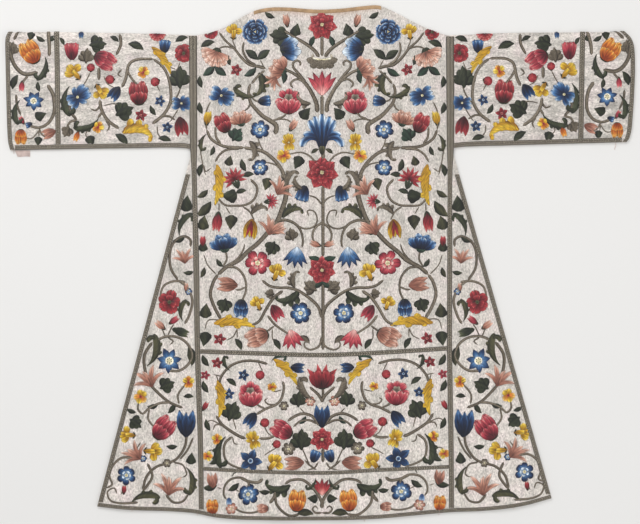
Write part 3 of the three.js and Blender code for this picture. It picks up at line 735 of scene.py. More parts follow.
def trumpet(work):
    work.petal((-0.02, -0.06), -62, 0.52, 0.42, bend=34)
    work.petal((0.02, -0.02), 58, 0.48, 0.4, lift=0.4, bend=50)
    work.petal(-0.02, -6, 0.52, 0.44, lift=0.6, notch=0.14)
    work.petal(-0.48, 0, 0.64, 0.26, "tube", lift=0.9)
    work.fan((-60, 60), -0.44, 0.24, 0.1, 0.9, tone=(0.1, 0.4), tip=0.0, grid=(5, 5), silk="green",
             **POINTED)


def lily(work):
    """A honeysuckle from the side: narrow petals that part and curl outwards."""
    for turn, length, bend, width in (
        (-24, 0.88, -70, 0.18), (-8, 1.0, -30, 0.22), (11, 0.98, 40, 0.22), (26, 0.86, 84, 0.18),
        (2, 0.8, -12, 0.26),
    ):
        work.petal(
            -0.46, turn, length, width, "long", bend, 0.4 + 4 * width, tone=(-0.1, 0.5), grid=(11, 7)
        )


def bud(work):
    work.fan((-9, 9), -0.46, 0.9, 0.36, 0.3, tone=(-0.1, 0.5), **POINTED)
    work.petal(-0.46, 0, 0.84, 0.3, lift=0.8, **POINTED)
    work.calyx(turns=(-28, 28))


def palmette(work):
    """Upright fingers that part like a fountain, the outer ones rolling over."""
    style = {"shape": "finger", "tone": (-0.1, 0.25), "rim": 1.1, "tip": 0.6, "grid": (14, 9)}
    for foot, turn, bend, length in (
        (-0.37, -4, 184, 0.78), (-0.3, 2, 120, 0.6), (-0.44, 13, 16, 0.84), (-0.46, 6, 8, 0.92),
    ):
        for way in (-1, 1):
            work.petal((way * 0.04, foot), way * turn, length, 0.19, bend=way * bend,
                       lift=0.4 + 0.6 * length, **style)
    work.petal(-0.47, 0, 0.98, 0.19, lift=1.3, **style)
    work.petal(-0.56, 0, 0.24, 0.16, lift=1.6, tip=0.0, tone=(0.1, 0.6), silk="olive")


def berry(work):
    work.calyx(turns=(-40, 40))
    work.blob(0, 0.46, 0.4, 1.6, tone=(0.7, 0.25), spokes=14)


def vase(work):
    """A low leafy dish in laid silver thread, twice as wide as it is high, with a pale open rim."""
    for way in (-1, 1):
        for turn, length, width in ((96, 0.5, 0.22), (124, 0.42, 0.24), (158, 0.28, 0.22)):
            work.petal(0.06, way * turn, length, width, bend=way * -24, lobes=(2, 0.2), tone=(0.6, 0.2),
                       rim=0.2, grid=(10, 7))
        work.petal((way * 0.26, 0.1), way * 60, 0.2, 0.07, bend=way * -120, lift=1.2, tone=(0.7, 0.9))
        work.petal(0.1, way * 90, 0.3, 0.06, "tube", way * -20, 1.5, tone=(0.6, 0.8), silk="pale")


# ---- Leaves ----
LEAF = {"tone": (0.04, 0.4), "rim": 0.12, "lit": 0.22, "tip": 0.1, "dome": 0.8, "slant": 0.7, "vein": 0.4}


def leaf(work):
    work.petal((0.04, -0.5), -22, 1.04, 0.5, "leaf", 46, **LEAF)


def heart(work):
    work.petal(-0.5, 0, 1.0, 0.86, "heart", 10, lobes=(4, 0.1), grid=(10, 7), **LEAF)


def ivy(work):
    """A broad leaf with a round lobe on each side, waved edges and a short point."""
    work.fan((-70, 70), -0.3, 0.56, 0.44, 0.3, -40, **LEAF)
    work.fan((-42, 42), -0.12, 0.5, 0.36, 0.5, -20, **LEAF)
    work.petal(-0.5, 0, 1.0, 0.5, "leaf", 12, 0.8, grid=(12, 7), **LEAF)


def pair(work):
    for way in (-1, 1):
        work.petal(-0.3, way * 42, 0.74, 0.4, "leaf", way * 20, **LEAF)


def frond(work, bend, width, lobes, style, shape="frond", breadth=0.62):
    """A scrolling leaf: a spine that bends, and round lobes that leave it. Each lobe has its share of
    the spine's length, its side and its own length. breadth is a lobe's width by its length."""
    start, full = math.radians(-0.5 * bend), math.radians(bend)
    foot, reach = (-0.1, -0.48), 1.14
    for share, way, length in lobes:
        turn = start + full * share
        right = foot[0] + reach / full * (math.cos(start) - math.cos(turn))
        along = foot[1] + reach / full * (math.sin(turn) - math.sin(start))
        work.petal((right, along), math.degrees(turn) + way * 20, length, breadth * length,
                   bend=way * 62, lift=0.3 + 0.3 * share, grid=(7, 6), **style)
    work.petal(foot, -0.5 * bend, reach, width, shape, bend, 0.8, grid=(14, 7), **style)


def acanthus(work):
    lobes = ((0.16, -1, 0.4), (0.36, -1, 0.36), (0.56, -1, 0.28), (0.4, 1, 0.24), (0.88, 1, 0.24))
    frond(work, 105, 0.34, lobes, {**LEAF, "tone": (0.1, 0.55), "rim": 0.2})


def crescent(work):
    """A long scrolling leaf, thin at its foot, with a waved back and a head that rolls over."""
    style = {**LEAF, "tone": (0.1, 0.5), "rim": 0.2}
    frond(work, 84, 0.25, ((0.4, -1, 0.23), (0.6, -1, 0.23)), style, "horn")
    work.petal((-0.18, 0.4), 30, 0.36, 0.17, "round", 190, 1.2, grid=(10, 7), **style)


def crescent_left(work):
    work.flip = -work.flip
    crescent(work)


def longleaf(work):
    style = {"tone": (0.25, 0.5), "rim": 0.3, "dome": 0.9, "slant": 0.5, "tip": 0.1}
    lobes = ((0.1, 1, 0.2), (0.26, -1, 0.25), (0.46, 1, 0.25), (0.64, -1, 0.21))
    frond(work, 40, 0.25, lobes, style, breadth=0.8)


FLOWERS = (
    rose, cabbage, star, star8, anemone, poppy, pansy, iris, lotus, bowl, goblet, shell, tulip, striped,
    peony, cup, bell, carnation, fringe, trumpet, lily, bud, palmette, berry, vase, longleaf,
)
LEAVES = (leaf, heart, ivy, pair, acanthus, crescent, crescent_left)
MOTIF_KINDS = {kind.__name__: kind for kind in FLOWERS + LEAVES}


# ---- The design ----
# Motifs of the left half, in millimetres: kind, silk, x, y, direction from +X in degrees, size.
# Those at x = 0 stand on the middle; the others are worked again on the right half.
MOTIFS = {
    "back_panel": """
vase silver 0 420 90 66
poppy red -233 484 90 31
leaf green -240 460 20 30
trumpet yellow -185 485 85 35
cabbage blue -140 485 0 56
leaf green -110 520 150 23
bud salmon -75 510 100 31
rose red 0 500 90 64
heart green -55 490 80 27
ivy green -90 475 180 42
shell blue -66 452 15 48
leaf bluegreen -20 465 70 25
pair green -135 440 90 45
carnation salmon -225 430 250 43
pair bluegreen -225 400 270 43
leaf green -195 425 100 21
star red -180 405 0 28
leaf bluegreen -150 400 215 30
cup salmon -94 410 150 42
lily salmon -103 378 240 30
leaf bluegreen -80 390 270 27
leaf bluegreen -80 420 90 18
goblet rose 0 377 90 52
crescent olive -157 364 160 50
acanthus olive -141 376 262 49
iris blue -208 350 340 54
bell blue -120 340 5 29
bowl rose -70 340 90 54
heart green -35 315 55 29
leaf green -255 380 100 25
leaf green -255 325 105 25
bud yellow -240 305 80 35
peony red -208 294 115 42
cup salmon -172 306 100 38
ivy bluegreen -180 270 60 33
anemone blue -130 280 20 41
bud salmon -60 290 60 31
iris yellow -70 255 95 37
palmette blue 0 272 90 80
pansy orange -80 225 200 31
heart green -50 210 250 29
leaf olive -15 235 30 18
rose red 0 190 90 74
acanthus silver -36 348 145 36
crescent_left olive -243 253 255 36
acanthus silver -155 235 275 42
acanthus silver -60 170 60 47
acanthus silver -45 170 120 32
leaf green -230 235 250 21
leaf green -255 195 75 27
heart olive -195 215 80 22
longleaf yellow -230 170 267 76
fringe red -185 180 112 47
leaf green -165 205 110 27
leaf green -155 185 10 25
anemone blue -130 200 60 37
heart olive -115 165 260 27
bell blue -40 145 255 37
leaf olive -250 145 215 27
heart green -195 140 180 34
leaf green -170 150 15 23
lily salmon -85 160 60 41
fringe rose -105 130 8 31
leaf olive -247 113 225 42
bud red -220 85 262 45
heart olive -190 85 270 31
heart olive -250 85 85 31
striped yellow -150 70 262 46
acanthus silver -130 105 20 36
acanthus olive -60 98 20 46
cup blue -207 45 100 45
bud red -250 46 90 27
heart green -250 36 90 24
lily salmon -105 78 70 44
bud salmon -90 70 30 35
ivy silver -65 60 110 29
ivy green -105 30 250 33
goblet blue -55 12 262 45
bud salmon -15 40 160 27
leaf bluegreen -15 10 170 27
anemone rose -135 0 0 56
leaf green -215 0 130 21
leaf olive -250 -20 250 23
trumpet yellow -95 -20 70 39
tulip salmon -200 -45 175 47
rose red 0 -15 90 62
leaf bluegreen -10 -45 200 27
ivy silver -25 -50 150 33
acanthus green -75 -60 200 53
acanthus silver -50 -35 80 36
ivy silver -110 -65 180 22
trumpet yellow -135 -85 110 33
ivy green -205 -90 260 33
heart olive -245 -100 90 31
peony blue -170 -96 267 38
anemone blue -45 -105 10 47
tulip rose -95 -105 300 40
longleaf yellow -190 -138 355 78
heart green -245 -160 265 31
star red -215 -160 0 29
leaf green -175 -170 300 27
peony salmon -137 -156 200 50
leaf green -95 -170 305 27
goblet rose -62 -160 285 42
leaf silver -35 -160 320 25
""",
    "apparel": """
leaf green -245 -205 120 27
star red -220 -210 10 26
star rose -245 -235 0 22
crescent green -195 -210 110 32
star blue -165 -235 0 26
berry red -130 -235 90 21
longleaf yellow -85 -230 312 66
crescent bluegreen -90 -205 15 32
tulip blue -50 -220 355 33
leaf green -190 -250 325 25
leaf green -245 -260 115 27
longleaf yellow -225 -280 272 70
star blue -195 -275 20 25
bowl rose -150 -275 95 52
pansy orange -105 -260 0 21
lotus red 0 -238 90 52
crescent silver -23 -263 124 58
ivy green -50 -285 90 35
anemone salmon -25 -290 0 23
bud red -245 -300 60 23
ivy green -190 -310 75 44
tulip blue -150 -330 235 39
anemone silver -80 -300 0 21
tulip blue 0 -320 90 52
berry red -120 -335 20 21
leaf green -240 -340 110 25
peony rose -85 -350 150 48
ivy green -45 -370 95 46
rose red 0 -370 90 52
pansy orange -220 -370 90 25
iris yellow -145 -370 110 39
berry red -95 -380 0 19
anemone silver -70 -390 0 29
pansy orange -240 -405 0 23
leaf green -225 -415 215 25
crescent_left green -200 -395 262 63
star blue -150 -415 70 54
trumpet yellow -100 -420 50 41
tulip salmon -60 -420 185 45
bell blue -15 -405 70 29
leaf bluegreen -40 -330 230 21
""",
    "border": """
tulip salmon -230 -455 95 35
leaf green -235 -470 190 30
leaf green -185 -470 215 27
anemone blue -155 -485 15 45
crescent olive -165 -443 20 48
leaf green -120 -480 180 23
acanthus green -92 -458 175 53
peony orange -52 -498 85 46
heart green -20 -495 180 22
crescent green -25 -460 230 30
goblet red 0 -470 90 36
peony orange -230 -511 90 32
bell skyblue -195 -500 270 16
anemone salmon -190 -515 0 25
peony salmon -125 -515 180 25
leaf olive -35 -525 0 34
""",
    "gore": """
heart green -285 125 90 34
crescent green -282 76 60 52
leaf green -300 50 200 27
lily salmon -290 15 100 35
leaf green -280 -20 185 21
bud salmon -285 -50 90 21
anemone blue -280 -60 0 16
poppy red -320 -82 20 50
crescent olive -284 -102 80 44
bud salmon -340 -130 140 29
bud rose -310 -120 35 27
bud green -295 -145 340 39
crescent_left olive -367 -184 78 66
star8 blue -320 -205 12 54
leaf olive -275 -195 280 41
lily salmon -366 -240 118 48
ivy green -325 -255 30 35
pansy orange -280 -250 90 27
pansy yellow -380 -280 250 31
leaf green -280 -280 0 21
leaf green -355 -300 190 23
leaf green -315 -305 235 25
leaf green -400 -310 160 21
ivy green -390 -335 330 31
peony rose -332 -346 50 54
tulip blue -285 -335 90 62
trumpet yellow -408 -360 175 37
trumpet yellow -355 -395 355 41
leaf green -315 -385 180 23
lily salmon -395 -398 140 44
anemone blue -375 -410 0 16
heart green -275 -410 90 25
anemone blue -410 -445 30 41
anemone silver -325 -420 0 19
lily salmon -320 -465 85 49
crescent olive -288 -456 275 56
crescent olive -372 -505 10 60
bud red -415 -475 85 21
""",
    "cuff": """
ivy silver -650 450 90 29
heart green -610 475 265 20
leaf green -590 470 150 21
leaf green -565 470 30 23
peony orange -612 443 120 52
crescent green -594 412 250 50
leaf green -645 380 70 32
leaf green -595 370 100 21
bud rose -630 370 265 25
star8 blue -605 340 10 43
crescent_left green -630 318 266 50
heart green -590 310 30 25
bud rose -630 300 120 21
bell blue -615 290 200 16
peony orange -632 264 270 32
tulip salmon -574 272 200 33
heart green -595 255 270 20
""",
    "sleeve": """
leaf green -545 465 300 18
bell rose -525 445 92 39
bud blue -505 480 270 23
ivy silver -495 435 90 33
ivy green -470 460 10 37
peony rose -455 425 330 48
leaf green -435 470 330 21
leaf green -390 455 340 34
carnation red -345 475 270 23
leaf green -295 470 20 27
longleaf yellow -345 425 305 62
bell blue -330 455 85 31
poppy red -290 440 90 42
trumpet yellow -520 400 130 41
berry red -485 410 90 19
berry red -445 385 180 21
pansy orange -375 400 60 27
ivy green -300 390 95 48
berry red -350 380 200 21
iris blue -510 350 40 58
trumpet yellow -465 360 300 37
tulip blue -435 355 235 37
peony red -385 357 95 50
star blue -340 340 0 25
iris blue -292 335 0 45
crescent_left green -523 342 272 60
ivy green -415 320 30 42
star red -380 310 5 27
leaf green -355 320 120 23
crescent green -495 300 200 54
star blue -325 285 10 25
tulip red -295 285 280 45
ivy silver -535 275 250 26
bud orange -515 265 250 25
pansy orange -470 285 60 27
heart green -485 255 290 25
leaf green -420 260 320 34
leaf green -330 260 350 27
acanthus yellow -389 261 350 64
""",
}

# Couched silver stems of the left half: width at the start and end, then x and y along the stem
STEMS = {
    "back_panel": """
7 4: -10 316, -12 336, -28 368, -44 386, -64 400, -80 406
5 3: -34 378, -48 396, -60 410, -60 420, -52 425, -45 420, -47 413
6 4: -6 432, -16 446, -34 460, -60 475, -80 488
4 3: -28 366, -42 382, -56 385, -66 376, -60 367
5 3: -118 408, -132 412, -152 416, -170 432, -184 450, -202 466, -216 484
3 2: -182 450, -202 454, -216 450, -224 440
4 3: -138 414, -156 426, -166 446, -164 464
2 1.5: -180 450, -186 462, -188 472
2 1.5: -122 412, -130 426
3 4: -120 404, -134 392, -148 376
4 8: -150 376, -154 360, -150 338, -138 322, -124 308, -108 298, -96 288, -98 270
3 2: -108 298, -88 302, -72 300, -64 294
3 3: -96 302, -80 308, -72 320
3 2: -152 356, -142 342, -130 338
3 2: -150 336, -156 324, -166 318
4 5: -242 280, -234 262, -218 250, -202 244, -178 242, -164 242
2 3: -234 338, -242 320, -244 298, -242 280
3 4: -224 286, -222 264, -212 250
4 3: -172 240, -198 238, -214 228, -224 212
5 6: -164 242, -140 238, -120 232, -98 214, -84 194, -76 172
2 2: -122 234, -130 248, -134 262
3 2: -82 192, -98 206, -120 212
3 2: -14 212, -28 226, -46 232, -70 228
5 5: 0 476, 0 434
5 5: 0 352, 0 308
5 6: 2 246, 2 216
5 5: 2 162, 2 14
5 5: 2 -44, 2 -182
8 6: -74 166, -76 138, -84 112, -94 88, -110 68, -134 42, -156 24, -174 6, -200 -8, -218 -24
5 5: -218 -24, -228 -40, -234 -66, -226 -92, -212 -118
4 3: -200 -8, -180 -10, -166 -24, -160 -40, -160 -60, -168 -80
3 3: -160 -50, -172 -56, -182 -56
3 3: -208 -8, -200 8, -202 24
5 2: -200 -8, -178 8, -166 26, -162 40
2 1.5: -222 -24, -240 -4, -248 18
4 3: -150 176, -136 158, -142 134, -160 122, -182 120, -204 122, -220 138
3 2: -166 118, -152 108, -142 90
2 2: -216 126, -216 108
2 1.5: -202 118, -192 102
2 1.5: -256 242, -250 206, -244 184
5 3: -94 88, -76 90, -56 82, -44 66, -40 46, -42 32
3 2: -56 80, -36 72, -18 76, -10 90, -16 108, -30 110, -28 98
3 2: 0 122, -12 136, -28 142
5 4: 0 -116, -8 -92, -26 -74, -50 -58, -72 -52, -90 -52, -110 -48, -126 -36
5 4: -82 -58, -102 -74, -118 -98, -132 -122, -154 -134
4 3: -114 -110, -100 -128, -84 -140, -68 -150
3 3: -100 -132, -116 -144
2 1.5: -104 -138, -104 -158, -96 -170
4 2: 0 -154, -6 -174, -24 -182, -36 -176, -36 -166, -26 -166
2 1.5: -212 -120, -238 -120, -246 -140
2 1.5: -178 -138, -186 -154, -200 -162
2 1.5: -178 -138, -178 -158
4 3: 2 86, -14 74, -20 58, -16 42
2 1.5: -248 206, -244 192, -232 200
""",
    "apparel": """
4 4: -216 -254, -210 -236, -192 -216, -166 -206, -138 -206, -114 -212
3 2: -84 -222, -66 -224
4 4: -82 -248, -80 -264, -86 -286, -98 -298, -118 -306, -138 -318
3 3: -118 -306, -132 -300, -142 -290
3 2: -98 -298, -114 -296, -120 -288, -114 -284
4 5: -222 -320, -210 -338, -192 -352, -172 -364, -160 -368
4 4: -132 -368, -114 -368, -98 -362
3 2: -192 -352, -212 -340, -224 -340, -228 -350
4 3: -188 -364, -202 -376, -206 -394, -200 -416, -180 -428, -162 -432
2 2: -188 -364, -184 -378, -176 -380
5 4: -4 -342, -20 -322, -40 -316, -58 -322, -72 -332
4 3: -8 -338, -26 -330, -46 -332, -60 -344
5 4: 2 -292, -8 -276, -26 -260
4 4: 2 -262, 2 -292
5 5: 2 -388, 2 -418
3 3: -12 -434, -26 -424, -36 -414
2 2: -26 -424, -34 -406, -42 -388
3 2: -8 -418, -16 -430, -30 -434
2 1.5: -216 -254, -222 -234
2 1.5: -210 -238, -228 -234
2 1.5: -134 -208, -124 -228
2 1.5: -188 -322, -180 -350
2 1.5: -122 -340, -114 -356, -104 -364
2 1.5: -84 -266, -100 -270, -104 -266
2 1.5: -96 -388, -110 -396, -122 -404
2 1.5: -210 -340, -232 -330, -244 -336
2 1.5: -218 -396, -232 -392, -240 -396
2 1.5: -46 -304, -30 -322
""",
    "border": """
4 3: -152 -472, -156 -458, -172 -450, -192 -454, -204 -468, -206 -486, -200 -496
4 5: -172 -450, -154 -458, -134 -460, -124 -452
5 5: -110 -504, -100 -490, -98 -472
4 5: -78 -464, -66 -456, -46 -454, -32 -460, -14 -478, -2 -498, 2 -514
4 4: -98 -484, -96 -504, -84 -520, -68 -530, -48 -528
3 3: -184 -514, -168 -522, -148 -524, -130 -520
4 2: 0 -524, -14 -524, -20 -516, -14 -510, -8 -516
2 1.5: -210 -474, -220 -470
3 3: 4 -490, 2 -510
2 1.5: -172 -480, -184 -474
""",
    "gore": """
4 4: -276 34, -276 48, -288 56, -304 50, -316 34, -320 10, -316 -14, -302 -36
4 3: -286 -40, -310 -38, -332 -48, -340 -70
4 4: -302 -36, -284 -50, -272 -78, -278 -108, -288 -128
4 4: -346 -162, -326 -154, -302 -156, -282 -170, -272 -194, -282 -214, -300 -226, -322 -226
3 2: -324 -156, -312 -164, -320 -172
2 2: -328 -156, -334 -142, -338 -134
2 2: -324 -154, -316 -136, -310 -128
5 4: -356 -166, -372 -192, -372 -220, -362 -250, -346 -270, -320 -292, -292 -304
3 3: -300 -296, -302 -276, -288 -256
4 3: -316 -292, -340 -294, -362 -304, -376 -316, -386 -306, -384 -292
3 3: -362 -306, -364 -328, -348 -348
4 4: -284 -362, -288 -386, -304 -410, -324 -420, -348 -428, -368 -448, -376 -476
3 3: -270 -366, -282 -392, -298 -412
4 4: -366 -420, -356 -446, -366 -466, -376 -478
4 3: -390 -410, -418 -408, -438 -424, -446 -446, -440 -464, -452 -472
3 2: -312 -418, -292 -424, -284 -444, -294 -450
4 3: -328 -486, -312 -502, -292 -500, -280 -484
4 2: -386 -502, -420 -504, -444 -498, -450 -480, -436 -472, -430 -484
2 1.5: -380 -376, -388 -390, -380 -396
2 1.5: -422 -486, -410 -464
""",
    "cuff": """
6 5: -574 490, -572 458, -572 434
6 6: -654 464, -652 432, -640 408, -622 396, -596 400
4 3: -616 394, -626 382, -630 372
6 4: -576 374, -564 352, -562 318, -574 294, -594 284, -614 288
4 3: -642 354, -640 332, -632 310
3 2: -594 284, -588 270, -576 262
2 1.5: -592 280, -608 262, -624 262
5 3: -646 468, -634 490, -622 494
2 1.5: -594 280, -594 264
""",
    "sleeve": """
5 4: -420 368, -412 386, -406 414, -396 424, -380 428, -354 428
4 5: -354 428, -336 414, -324 394, -318 368, -318 338, -332 312, -356 292
3 2: -318 332, -304 350, -296 370
5 5: -426 282, -448 298, -462 320, -466 342
5 5: -468 384, -468 410
4 2: -464 332, -474 320, -486 324
5 4: -530 338, -528 318, -514 300
4 3: -514 300, -528 296, -536 284
5 4: -424 480, -422 458, -432 436
4 2: -454 302, -446 286, -452 276
4 3: -350 294, -338 306, -322 308, -308 300
4 3: -470 304, -458 322
2 1.5: -486 400, -496 380, -502 372
2 1.5: -458 392, -450 376, -436 368
2 1.5: -348 376, -340 360
2 1.5: -332 444, -334 422, -340 410
2 1.5: -316 388, -302 410, -298 422
2 1.5: -420 330, -438 334, -458 330
2 1.5: -488 284, -496 270, -490 260
2 1.5: -346 288, -344 270, -336 262
4 3: -410 406, -400 388, -386 372
3 2: -420 406, -428 396, -420 390
2 1.5: -302 322, -316 300, -320 296
2 1.5: -328 414, -306 406
""",
}


def other_half(area, x, y):
    """The same place on the right half, by its share of each panel's width and height."""
    if area in MIDDLE_AREAS:
        x_there = x * right_in(y) / left_in(y)
    else:
        edge = gore_edge if area == "gore" else cuff_edge.get
        share = (x - left_out(y)) / (edge("left")(y) - left_out(y))
        x_there = mix(right_out(y), edge("right")(y), share)
    if area in SLEEVE_AREAS:
        rise = (y - sleeve_foot["left"](x)) / (sleeve_top["left"](x) - sleeve_foot["left"](x))
        return float(x_there), float(mix(sleeve_foot["right"](x_there), sleeve_top["right"](x_there), rise))
    return float(x_there), float(y + (hem(x_there) - hem(x)) * np.clip(-y / HEM_DEPTH, 0, 1))


# ---- Finishes ----
# A pattern's scale is one over the real size of its grain, given in millimetres. The real threads are
# 0.2 to 0.4 mm wide, too fine to show, so threads and stitches are drawn several times coarser.
MULTIPLY = {"data_type": "RGBA", "blend_type": "MULTIPLY", "i0": 1.0}  # one colour by another
SPREAD = {"i1": 0.28, "i2": 0.72}  # a noise keeps between these, near its middle


def grain(*sizes):
    """The scale of a pattern along each axis of a place in metres, from its size in millimetres."""
    return tuple(1 / (size * MM) for size in sizes)


def add(tree, kind, out=0, stops=(), **values):
    """Adds a node and gives back one output. A key in small letters is a setting of the node. Any
    other is a socket's name, or i and its number, and gets a value or another node's output."""
    made = tree.nodes.new("ShaderNode" + kind)
    for key, value in values.items():
        numbered = key[1:].isdigit()
        if key.islower() and not numbered:
            setattr(made, key, value)
            continue
        socket = made.inputs[int(key[1:]) if numbered else key.replace("_", " ")]
        if isinstance(value, bpy.types.NodeSocket):
            tree.links.new(value, socket)
        else:
            socket.default_value = value
    for number, (at, tone) in enumerate(stops):
        elements = made.color_ramp.elements
        stop = elements[number] if number < 2 else elements.new(at)
        stop.position, stop.color = at, (*(linear(tone) if isinstance(tone, str) else tone), 1)
    return made.outputs[out]


def blank(name, **values):
    """A new material's node tree, with uniform values set on its shader."""
    material = bpy.data.materials.new(name)
    material.use_nodes = True
    for key, value in values.items():
        material.node_tree.nodes["Principled BSDF"].inputs[key.replace("_", " ")].default_value = value
    return material.node_tree


def surface(tree, colour, height, depth):
    """Gives the tree's shader its colour and a relief of a real depth in millimetres."""
    shader = tree.nodes["Principled BSDF"]
    tree.links.new(colour, shader.inputs["Base Color"])
    relief = add(tree, "Bump", Height=height, Distance=depth * MM, Strength=1.0)
    tree.links.new(relief, shader.inputs["Normal"])


def silver_silk(name, colours, turn, strength):
    """Silk woven with silver strip and crinkled by age. The tarnish mottles it between a pinkish and
    a greenish cream, the crinkles run along the warp with painted shade in their hollows and painted
    light on their crests, and single strips get painted glints."""
    tree = blank(name, Roughness=0.52, Metallic=0.12, Sheen_Weight=0.15, Sheen_Roughness=0.4)
    place = add(tree, "TexCoord", 3)
    warp = add(tree, "Mapping", Vector=place, Rotation=(0, 0, math.radians(turn)))
    thread_place = add(tree, "VectorMath", operation="MULTIPLY", i0=warp, i1=grain(2.778, 5.263, 5))
    threads = add(tree, "TexNoise", Vector=thread_place, Scale=1.0, Detail=3.0, Roughness=0.7)
    crinkle_place = add(tree, "VectorMath", operation="MULTIPLY", i0=warp, i1=grain(9.091, 45.45, 16.67))
    crinkles = add(tree, "TexNoise", Vector=crinkle_place, Scale=1.0, Detail=3.0)
    tarnish = add(tree, "TexNoise", Vector=place, Scale=grain(38.46)[0], Detail=4.0, Roughness=0.6)
    tint = add(tree, "ValToRGB", Fac=tarnish, stops=(
        (0.3, colours.silk_shade), (0.5, colours.silk), (0.72, colours.silk_pink)))
    weave = add(tree, "MapRange", Value=threads, **SPREAD, i3=0.52, i4=1.42)
    woven = add(tree, "Mix", 2, **MULTIPLY, i6=tint, i7=weave)
    blotches = add(tree, "TexNoise", Vector=place, Scale=grain(4.348)[0], Detail=3.0, Roughness=0.7)
    blotched = add(tree, "MapRange", Value=blotches, **SPREAD, i3=0.88, i4=1.12)
    woven = add(tree, "Mix", 2, **MULTIPLY, i6=woven, i7=blotched)
    # The colour is darker towards the shoulders, where the place's y is highest, and lighter towards the
    # hem
    height = add(tree, "SeparateXYZ", 1, i0=place)
    lighter_towards_hem = add(tree, "MapRange", Value=height, i1=0.25, i2=-0.35, i3=0.98, i4=1.12)
    woven = add(tree, "Mix", 2, **MULTIPLY, i6=woven, i7=lighter_towards_hem)
    # Painted shade and light: the crinkles darken the colour in their hollows and lighten it on their
    # crests, as well as giving the relief
    hollows = add(tree, "MapRange", Value=crinkles, **SPREAD, i3=1 - strength, i4=0.98 + strength)
    folded = add(tree, "Mix", 2, **MULTIPLY, i6=woven, i7=hollows)
    # Painted highlights: small bright specks screened onto the colour where single strips would glint; lit
    # is the colour with them
    strip_place = add(tree, "VectorMath", operation="MULTIPLY", i0=warp, i1=grain(3.03, 7.692, 5))
    strips = add(tree, "TexVoronoi", Vector=strip_place, Scale=1.0)
    painted_glint = add(tree, "ValToRGB", Fac=strips, stops=((0.1, "#ffffff"), (0.2, "#000000")))
    lit = add(tree, "Mix", 2, data_type="RGBA", blend_type="SCREEN", i0=0.28, i6=folded, i7=painted_glint)
    wear = add(tree, "Attribute", 2, attribute_name="wear")
    worn = add(tree, "Mix", 2, data_type="RGBA", i0=wear, i6=lit, i7=(*colours.worn, 1))
    relief = add(tree, "Math", operation="ADD", i0=threads, i1=crinkles)
    surface(tree, worn, relief, 0.4 + strength)


def silver_braid(name, colours):
    """Flat braid woven from silver thread round a silk core, tarnished to grey olive, with a chevron
    weave. Painted shade darkens its low middle and, still more, its low outer edges, so that its two
    ridges show lighter."""
    tree = blank(name, Roughness=0.45, Metallic=0.35)
    thread = add(tree, "Attribute", 1, attribute_name="thread")
    across, along, share = add(tree, "SeparateXYZ", i0=thread).node.outputs
    away = add(tree, "Math", operation="ABSOLUTE", i0=across)
    slant = add(tree, "Math", operation="ADD", i0=along, i1=away)
    chevron = add(tree, "Math", operation="PINGPONG", i0=slant, i1=colours.chevron / MM / 2)
    weave_place = add(tree, "VectorMath", operation="MULTIPLY", i0=thread, i1=(1 / 1.111, 1 / 1.429, 0))
    weave = add(tree, "TexNoise", Vector=weave_place, Scale=1.0, Detail=3.0)
    away_share = add(tree, "Math", operation="ABSOLUTE", i0=share)
    # Painted shade across the braid's section: darker along its low middle, darkest at its low outer edges,
    # full on its two ridges
    edge = add(tree, "ValToRGB", Fac=away_share, stops=(
        (0.0, "#c4c4c4"), (0.16, "#cccccc"), (0.32, "#ffffff"), (0.7, "#ececec"), (0.95, "#6c6c6c")))
    speck_place = add(tree, "VectorMath", operation="MULTIPLY", i0=thread, i1=(1 / 2.941, 1 / 3.333, 0))
    specks = add(tree, "TexNoise", Vector=speck_place, Scale=1.0, Detail=2.0)
    mixed = add(tree, "Math", operation="MULTIPLY_ADD", i0=chevron, i1=0.16, i2=weave)
    dyed = add(tree, "ValToRGB", Fac=mixed, stops=(
        (0.35, colours.braid_shade), (0.6, colours.braid), (0.95, colours.braid_light)))
    spotted = add(tree, "MapRange", Value=specks, **SPREAD, i3=0.4, i4=1.5)
    dyed = add(tree, "Mix", 2, **MULTIPLY, i6=dyed, i7=spotted)
    surface(tree, add(tree, "Mix", 2, **MULTIPLY, i6=dyed, i7=edge), mixed, 0.5)


def stitches(name, _colours, width, length, contrast, depth, **values):
    """Threads laid side by side. The colour rides on the mesh; streaks along the thread part it into
    single stitches, and their relief gives the soft shine its grain."""
    tree = blank(name, Sheen_Roughness=0.35, **values)
    thread = add(tree, "Attribute", 1, attribute_name="thread")
    silk = add(tree, "Attribute", 0, attribute_name="silk")
    place = add(tree, "VectorMath", operation="MULTIPLY", i0=thread, i1=(1 / width, 1 / length, 1))
    streaks = add(tree, "TexNoise", Vector=place, Scale=1.0, Detail=2.0)
    parted = add(tree, "MapRange", Value=streaks, **SPREAD, i3=1 - contrast, i4=1 + contrast)
    surface(tree, add(tree, "Mix", 2, **MULTIPLY, i6=silk, i7=parted), streaks, depth)


def plain_cloth(name, colours, colour, weave, **values):
    """Plain woven cloth: worn lighter and darker in patches, with a thread relief."""
    tree = blank(name, Sheen_Weight=0.2, **values)
    place = add(tree, "TexCoord", 3)
    patches = add(tree, "TexNoise", Vector=place, Scale=grain(11.11)[0], Detail=4.0)
    worn = add(tree, "MapRange", Value=patches, **SPREAD, i3=0.75, i4=1.25)
    worn = add(tree, "Mix", 2, **MULTIPLY, i6=(*getattr(colours, colour), 1), i7=worn)
    threads = add(tree, "TexNoise", Vector=place, Scale=grain(weave)[0], Detail=1.0)
    surface(tree, worn, threads, 0.2)


